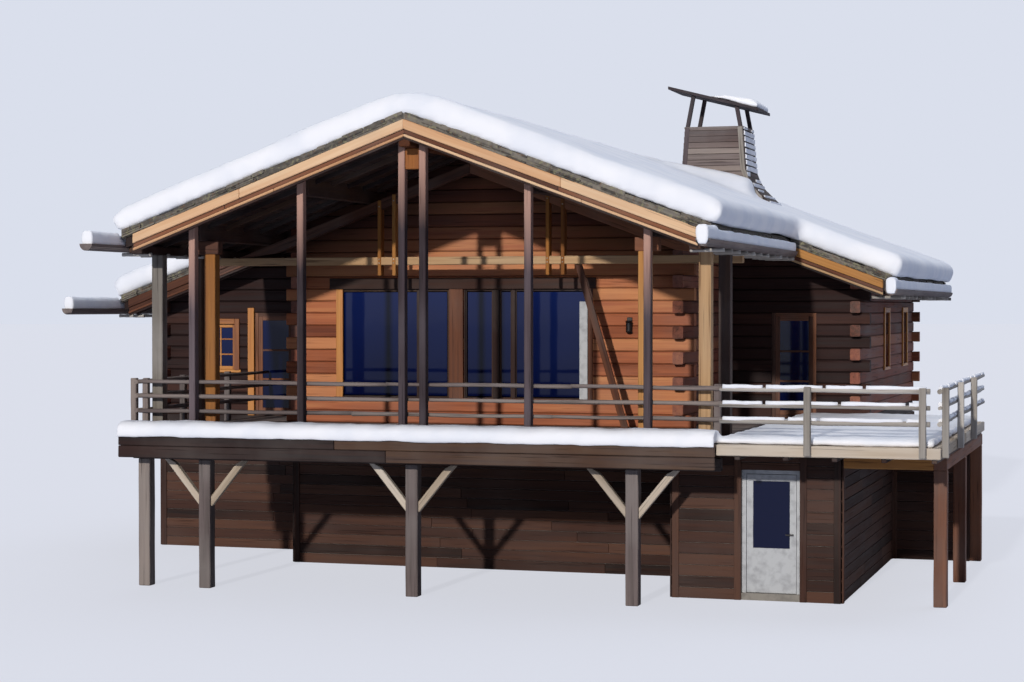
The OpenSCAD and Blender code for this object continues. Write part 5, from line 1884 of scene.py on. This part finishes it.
@dataclass
class LowerStorey:
    """Boarded walls of the lower storey, the annex and the open bay, and the annex door."""

    board: float = 0.2
    thick: float = 0.026
    joint: float = 0.008
    corner: float = 0.12
    corner_proud: float = 0.018
    bay: float = 0.22
    hewn: float = 0.003

    def build(self) -> None:
        """Board the walls and dress the door."""
        walls = ("lower_side_walls", "lower_rear_wall", "lower_front_walls",
                 "annex_wall_left", "annex_wall_right", "annex_lintel")
        dress(Finish.CAST_FLOOR, "ground_floor", *walls)
        self.cladding()
        dress(Finish.DOOR_PAINT, "annex_door_frame", "annex_door")
        dress(Finish.GLASS, "annex_door_glass")
        dress(Finish.IRON, "annex_door_handle")
        self.bay_timbers()

    def cladding(self) -> None:
        """Board the outer faces in courses, with a corner board at each corner."""
        # The wall boards take the darkened boards as painted shade under the deck.
        pile = Pile("wall_boards", Finish.BOARDS_SHADED, "board_wood")
        p, bay_left = PLAN, PLAN.terrace_right - self.bay
        faces = [
            (p.left, -p.hall, p.left_front, -1, False),
            (-p.hall, p.annex_left, p.front, -1, False),
            (p.annex_left, p.door, p.annex, -1, False),
            (p.door + p.doorway, p.annex_right, p.annex, -1, False),
            (p.annex_right, bay_left, p.right_front, -1, False),
            (p.left, p.right, p.rear, 1, False),
            (p.left_front, p.rear, p.left, -1, True),
            (p.front, p.left_front, -p.hall, -1, True),
            (p.annex, p.front, p.annex_left, -1, True),
            (p.annex, p.right_front, p.annex_right, 1, True),
            (p.right_front, p.rear, p.right, 1, True),
            (p.right, bay_left, p.right_front + 0.25, 1, False),
        ]
        high = p.base / math.ceil(p.base / self.board) - self.joint
        for a, b, wall, out, inward in faces:
            for z in spread(0.0, p.base, self.board)[:-1]:
                for u0, u1 in lengths(a, b, 2.0, 3.8):
                    proud = out * (self.thick + RNG.uniform(-0.003, 0.003))
                    self.plank(pile, u0, u1, wall, proud, z, z + high, inward)
            for u in (a - (0.0 if inward else 0.001), b - self.corner):
                proud = out * (self.thick + self.corner_proud)
                self.plank(pile, u, u + self.corner, wall, proud, 0.0, p.base, inward, True)
        for z in spread(p.doorway_top, p.base, 0.14)[:-1]:
            self.plank(pile, p.door, p.door + p.doorway, p.annex, -self.thick, z, z + 0.13, False)
        pile.join()

    def plank(self, pile: Pile, u0: float, u1: float, wall: float, proud: float, z0: float, z1: float,
              inward: bool, upright: bool = False) -> None:
        """Nail one board to a wall's outer face, a fifth of it let in."""
        near, far = sorted((wall - proud * 0.2, wall + proud))
        nail(pile, u0, u1, near, far, z0, z1, inward, upright)

    def bay_timbers(self) -> None:
        """Frame the open bay at the terrace's outer corner."""
        pile = Pile("bay_timbers", Finish.BOARDS_BROWN, "board_wood", ("bay_frame",))
        p, x1 = PLAN, PLAN.terrace_right
        low, x0 = p.base - self.bay, x1 - self.bay
        for y in (p.annex, (p.annex + p.right_front) / 2, p.right_front):
            pile.add(BEAM.cut((x0, y, 0.0), (x1, y + self.bay, low), Lie.UPRIGHT, self.hewn))
        pile.add(BEAM.cut((x0, p.annex, low), (x1, p.right_front + 0.25, p.base), Lie.INWARD, self.hewn))
        pile.join()
        corner, other = (p.annex_right, p.annex, low), (x0, p.annex + self.bay, p.base)
        header = BEAM.cut(corner, other, Lie.ACROSS, self.hewn)
        Pile("bay_header", Finish.TIMBER_ORANGE, "post_wood").join(header)


@dataclass
class Chimney:
    """Boarded stack with corner boards and a flared foot, four leaning posts and a plank lid."""

    x: float = 2.48
    y: float = 3.6
    half: float = 0.81
    flare: float = 0.48
    top_half: float = 0.66
    top: float = 9.11
    low: float = 7.15
    board: float = 0.135
    thick: float = 0.03
    worn_top: float = 8.5
    corner_wide: float = 0.11
    corner_thick: float = 0.04

    def build(self) -> None:
        """Board the stack over the CAD form, and dress posts and lid."""
        dress(Finish.TIMBER_DARK, "chimney_stack")
        self.boards()
        self.corner_boards()
        self.rim()
        self.posts_and_lid()

    def foot(self) -> float:
        """Return the level from which the stack tapers."""
        return PLAN.roof(self.x + self.half + self.flare)

    def half_at(self, z: float) -> float:
        """Return half the stack's width at a height."""
        share = (z - self.foot()) / (self.top - self.foot())
        return self.half + (self.top_half - self.half) * share

    def right_at(self, z: float) -> float:
        """Find how far the flared right side stands from the middle.

        Args:
            z: The height.

        Returns:
            The distance from the stack's middle.
        """
        snow = self.foot() + PLAN.boards + PLAN.stone + 0.43
        places = [snow, snow + 0.33, snow + 0.65, self.top]
        reach = [self.half + self.flare, self.half + 0.144, self.half * 0.93, self.top_half]
        return float(np.interp(z, places, reach))

    def boards(self) -> None:
        """Lap boards round the stack, the worn ones below, with blown snow in the gaps of its right side."""
        brown = Pile("stack_boards", Finish.BOARDS_CHIMNEY, "grey_wood")
        worn = Pile("worn_stack_boards", Finish.TIMBER_GREY, "grey_wood")
        snow = Pile("blown_snow", Finish.SNOW, "snow")
        roof_top = PLAN.boards + PLAN.stone
        for z in np.arange(self.low, self.top - 0.05, self.board):
            z1 = min(z + self.board - RNG.uniform(0.006, 0.014), self.top)
            mid = (z + z1) / 2
            h, left, right = self.half_at(mid), self.x - self.half_at(mid), self.x + self.right_at(mid)
            y0, y1 = self.y - h + 0.03, self.y + h - 0.03
            pile = worn if z < self.worn_top else brown
            if z1 >= PLAN.roof(right) + roof_top:
                for out in (-1, 1):
                    self.face_board(pile, out, h, left, right, z, z1)
            if z > PLAN.roof(left) + roof_top:
                pile.add(BOARD.cut((left - 0.018, y0, z), (left + 0.02, y1, z1), Lie.INWARD, 0.003))
            if z > PLAN.roof(right) + roof_top + 0.2:
                low, high = (right - 0.03, y0, z + 0.012), (right + 0.02, y1, z1 - 0.012)
                brown.add(BOARD.cut(low, high, Lie.INWARD, 0.004))
                for a, b in lengths(y0 + 0.03, y1 - 0.03, 0.35, 1.0, 0.03):
                    if RNG.random() < 0.9:
                        low, high = (right + 0.005, a, z + 0.018), (right + 0.045, b, z1 - 0.01)
                        snow.add(SLAB.cut(low, high, Lie.INWARD, 0.01))
        join_all(brown, worn, snow)

    def face_board(
        self, pile: Pile, out: int, half: float, left: float, right: float, z0: float, z1: float
    ) -> None:
        """Lay one board on the stack's front or rear face, a little loose.

        Args:
            pile: The pile that takes the board.
            out: The front (-1) or the rear (1).
            half: Half the stack's depth at this height.
            left: The stack's left side.
            right: The stack's right side.
            z0: Foot of the board.
            z1: Head of the board.
        """
        y = self.y + out * half
        ys = sorted((y - out * 0.02, y + out * (self.thick - 0.012) * RNG.uniform(0.6, 1.0)))
        pile.add(BOARD.cut((left + 0.02, ys[0], z0), (right - 0.01, ys[1], z1), Lie.ACROSS, 0.003))

    def corner_boards(self) -> None:
        """Nail boards over the corners, pale ones on the right."""
        pale = Pile("corner_boards", Finish.TIMBER_SILVER, "pale_wood")
        dark = Pile("old_corner_boards", Finish.TIMBER_SLATE, "grey_wood")
        wide, thin = self.corner_wide / 2, self.corner_thick / 2
        for out_y in (-1, 1):
            for out_x in (-1, 1):
                low = PLAN.roof(self.x + out_x * self.half) + 0.4
                item = BEAM.cut((-wide, -thin, low), (wide, thin, self.top), Lie.UPRIGHT)
                points = coordinates(item.data)
                for k, z in enumerate(points[:, 2]):
                    h = self.half_at(z)
                    side = self.right_at(z) if out_x > 0 else h
                    points[k, 0] += self.x + out_x * (side - 0.05)
                    points[k, 1] += self.y + out_y * (h + 0.008)
                set_coordinates(item.data, points)
                (pale if out_x > 0 else dark).add(item)
        join_all(pale, dark)

    def rim(self) -> None:
        """Lay a rim of four boards round the top."""
        pile = Pile("stack_rim", Finish.TIMBER_GREY, "grey_wood")
        inner, h, outer = self.top_half - 0.05, self.top_half, self.top_half + 0.02
        z0, z1 = self.top - 0.035, self.top + 0.012
        for x0, y0, x1, y1 in ((-outer, -outer, outer, -inner), (-outer, inner, outer, outer),
                               (-outer, -h, -inner, h), (inner, -h, outer, h)):
            pile.add(BOARD.cut((self.x + x0, self.y + y0, z0), (self.x + x1, self.y + y1, z1)))
        pile.join()

    def posts_and_lid(self) -> None:
        """Ease the edges of the leaning posts and of the lid, and give them their grain."""
        for node, name, axes in (("chimney_posts", "lid_posts", [2, 0, 1]),
                                 ("chimney_lid", "lid_planks", [0, 1, 2])):
            item = copy_node(node)
            apply_modifier(item, "BEVEL", width=0.008, segments=1)
            mark_grain(item.data, coordinates(item.data)[:, axes])
            Pile(name, Finish.TIMBER_SLATE, "grey_wood", (node,)).join(item)


@dataclass
class WallLamp:
    """Round lantern on a back plate, with a cap and a foot ring."""

    x: float = 2.85
    z: float = 4.52
    radius: float = 0.06
    tall: float = 0.22
    plate: float = 0.03

    def build(self) -> None:
        """Turn the lantern from a cylinder with inset and extruded ends."""
        y = PLAN.front - self.plate - self.radius
        bpy.ops.object.select_all(action="DESELECT")
        bpy.ops.mesh.primitive_cylinder_add(vertices=24, radius=self.radius * 0.86, depth=self.tall * 0.8,
                                            location=(self.x, y, self.z + self.tall / 2))
        item = bpy.context.object
        bpy.ops.object.transform_apply(location=True, rotation=True, scale=True)
        for side in (1, -1):
            self.cap(item, side, self.tall * 0.1)
        apply_modifier(item, "BEVEL", width=0.003, segments=2)
        low = (self.x - 0.05, PLAN.front - self.plate, self.z - 0.02)
        plate = BOARD.cut(low, (self.x + 0.05, PLAN.front, self.z + 0.28))
        Pile("lantern", Finish.IRON, "dark_iron", ("wall_lamp",)).join(item, plate)

    def cap(self, item: bpy.types.Object, side: int, thick: float) -> None:
        """Widen one end into a cap.

        Args:
            item: The cylinder.
            side: Its upper (1) or lower (-1) end.
            thick: Thickness of the cap.
        """
        stay, rise = {"value": (0.0, 0.0, 0.0)}, {"value": (0.0, 0.0, side * thick)}
        edit_some(
            item, "FACE", lambda face: face.normal.z * side > 0.9,
            lambda: bpy.ops.mesh.extrude_region_move(TRANSFORM_OT_translate=stay),
            lambda: bpy.ops.transform.resize(value=(1.15, 1.15, 1.0)),
            lambda: bpy.ops.mesh.extrude_region_move(TRANSFORM_OT_translate=rise),
            lambda: bpy.ops.transform.resize(value=(0.8, 0.8, 1.0)),
        )


@dataclass(frozen=True)
class Sun:
    """One lamp of the stage: its name, power, breadth, colour, and the way it shines, in degrees."""

    name: str
    power: float
    breadth: float
    colour: Point
    tip: float
    turn: float


@dataclass
class Stage:
    """Plain pale floor, low sun from the front, light from the sky, and the camera at the photo's angle."""

    floor_colour: str = "#BCC2D0"
    floor_glow: str = "#F2F4FD"
    floor_share: float = 0.66
    floor_radius: float = 600.0
    sky_light: str = "#BCCBF2"
    sky_power: float = 0.22
    sky_seen: str = "#DADFEC"
    suns: tuple[Sun, ...] = (
        Sun("key", 2.5, 1.5, (1.0, 0.96, 0.9), 73.0, -1.5),
        Sun("sky_fill", 1.15, 50.0, (0.86, 0.92, 1.0), 28.0, 165.0),
    )
    eye: Point = (12.42, -45.15, 4.99)
    tilt: float = 89.09
    pan: float = 17.07
    lens: float = 75.0

    def build(self) -> None:
        """Set the floor, the world, the lamps and the camera."""
        self.floor()
        self.world()
        self.lamps()
        self.camera()

    def floor(self) -> None:
        """Lay a wide floor that fades into the background."""
        bpy.ops.object.select_all(action="DESELECT")
        bpy.ops.mesh.primitive_circle_add(vertices=96, radius=self.floor_radius, fill_type="NGON",
                                          location=(0.0, 0.0, 0.0))
        item = bpy.context.object
        item.name = "stage_floor"
        material, tree, shader = new_material("pale_floor")
        feed(tree, shader, {"Base Color": linear(self.floor_colour), "Roughness": 0.9})
        seen = add_node(tree, "ShaderNodeLightPath").outputs["Is Camera Ray"]
        share = calc(tree, "MULTIPLY", seen, self.floor_share)
        glow = add_node(tree, "ShaderNodeEmission", None, {"Color": linear(self.floor_glow)}).outputs[0]
        mix = add_node(tree, "ShaderNodeMixShader", None, {0: share, 1: shader.outputs[0], 2: glow})
        ground = next(n for n in tree.nodes if n.type == "OUTPUT_MATERIAL")
        feed(tree, ground, {"Surface": mix.outputs[0]})
        item.data.materials.append(material)

    def world(self) -> None:
        """Light all round at a plain level, and show a pale background to the camera."""
        world = bpy.data.worlds.new("plain_sky")
        bpy.context.scene.world = world
        world.use_nodes = True
        tree = world.node_tree
        tree.nodes.clear()
        path = add_node(tree, "ShaderNodeLightPath")
        seen = path.outputs["Is Camera Ray"]
        for ray in ("Is Glossy Ray", "Is Transmission Ray"):
            seen = calc(tree, "MAXIMUM", seen, path.outputs[ray])
        light = {"Color": linear(self.sky_light), "Strength": self.sky_power}
        fill = add_node(tree, "ShaderNodeBackground", None, light).outputs[0]
        background = {"Color": linear(self.sky_seen), "Strength": 1.0}
        back = add_node(tree, "ShaderNodeBackground", None, background).outputs[0]
        mix = add_node(tree, "ShaderNodeMixShader", None, {0: seen, 1: fill, 2: back}).outputs[0]
        add_node(tree, "ShaderNodeOutputWorld", None, {"Surface": mix})

    def lamps(self) -> None:
        """Hang a low winter sun before the gable, and a broad weak one high over the house."""
        for sun in self.suns:
            lamp = bpy.data.lights.new(sun.name, "SUN")
            lamp.energy = sun.power
            lamp.angle = math.radians(sun.breadth)
            lamp.color = sun.colour
            item = bpy.data.objects.new(sun.name, lamp)
            item.rotation_euler = (math.radians(sun.tip), 0.0, math.radians(sun.turn))
            bpy.context.scene.collection.objects.link(item)

    def camera(self) -> None:
        """Stand the camera where the photo was taken from."""
        data = bpy.data.cameras.new("camera")
        data.lens = self.lens
        data.sensor_width = 36.0
        data.clip_end = 2000.0
        item = bpy.data.objects.new("camera", data)
        item.location = self.eye
        item.rotation_euler = (math.radians(self.tilt), 0.0, math.radians(self.pan))
        bpy.context.scene.collection.objects.link(item)
        bpy.context.scene.camera = item


def main() -> None:
    """Build each sub-assembly in order, then the stage."""
    logging.basicConfig(level=logging.INFO, format="%(name)s: %(message)s")
    bpy.context.scene.view_settings.view_transform = "Standard"
    for assembly in (LogWalls(), Windows(), LowerStorey(), Deck(), Railings(), VerandaFrame(),
                     StoneRoof(), Gutters(), Chimney(), WallLamp(), SnowRoof(), Stage()):
        assembly.build()
        LOG.info("%s done", type(assembly).__name__)


if __name__ == "__main__":
    main()
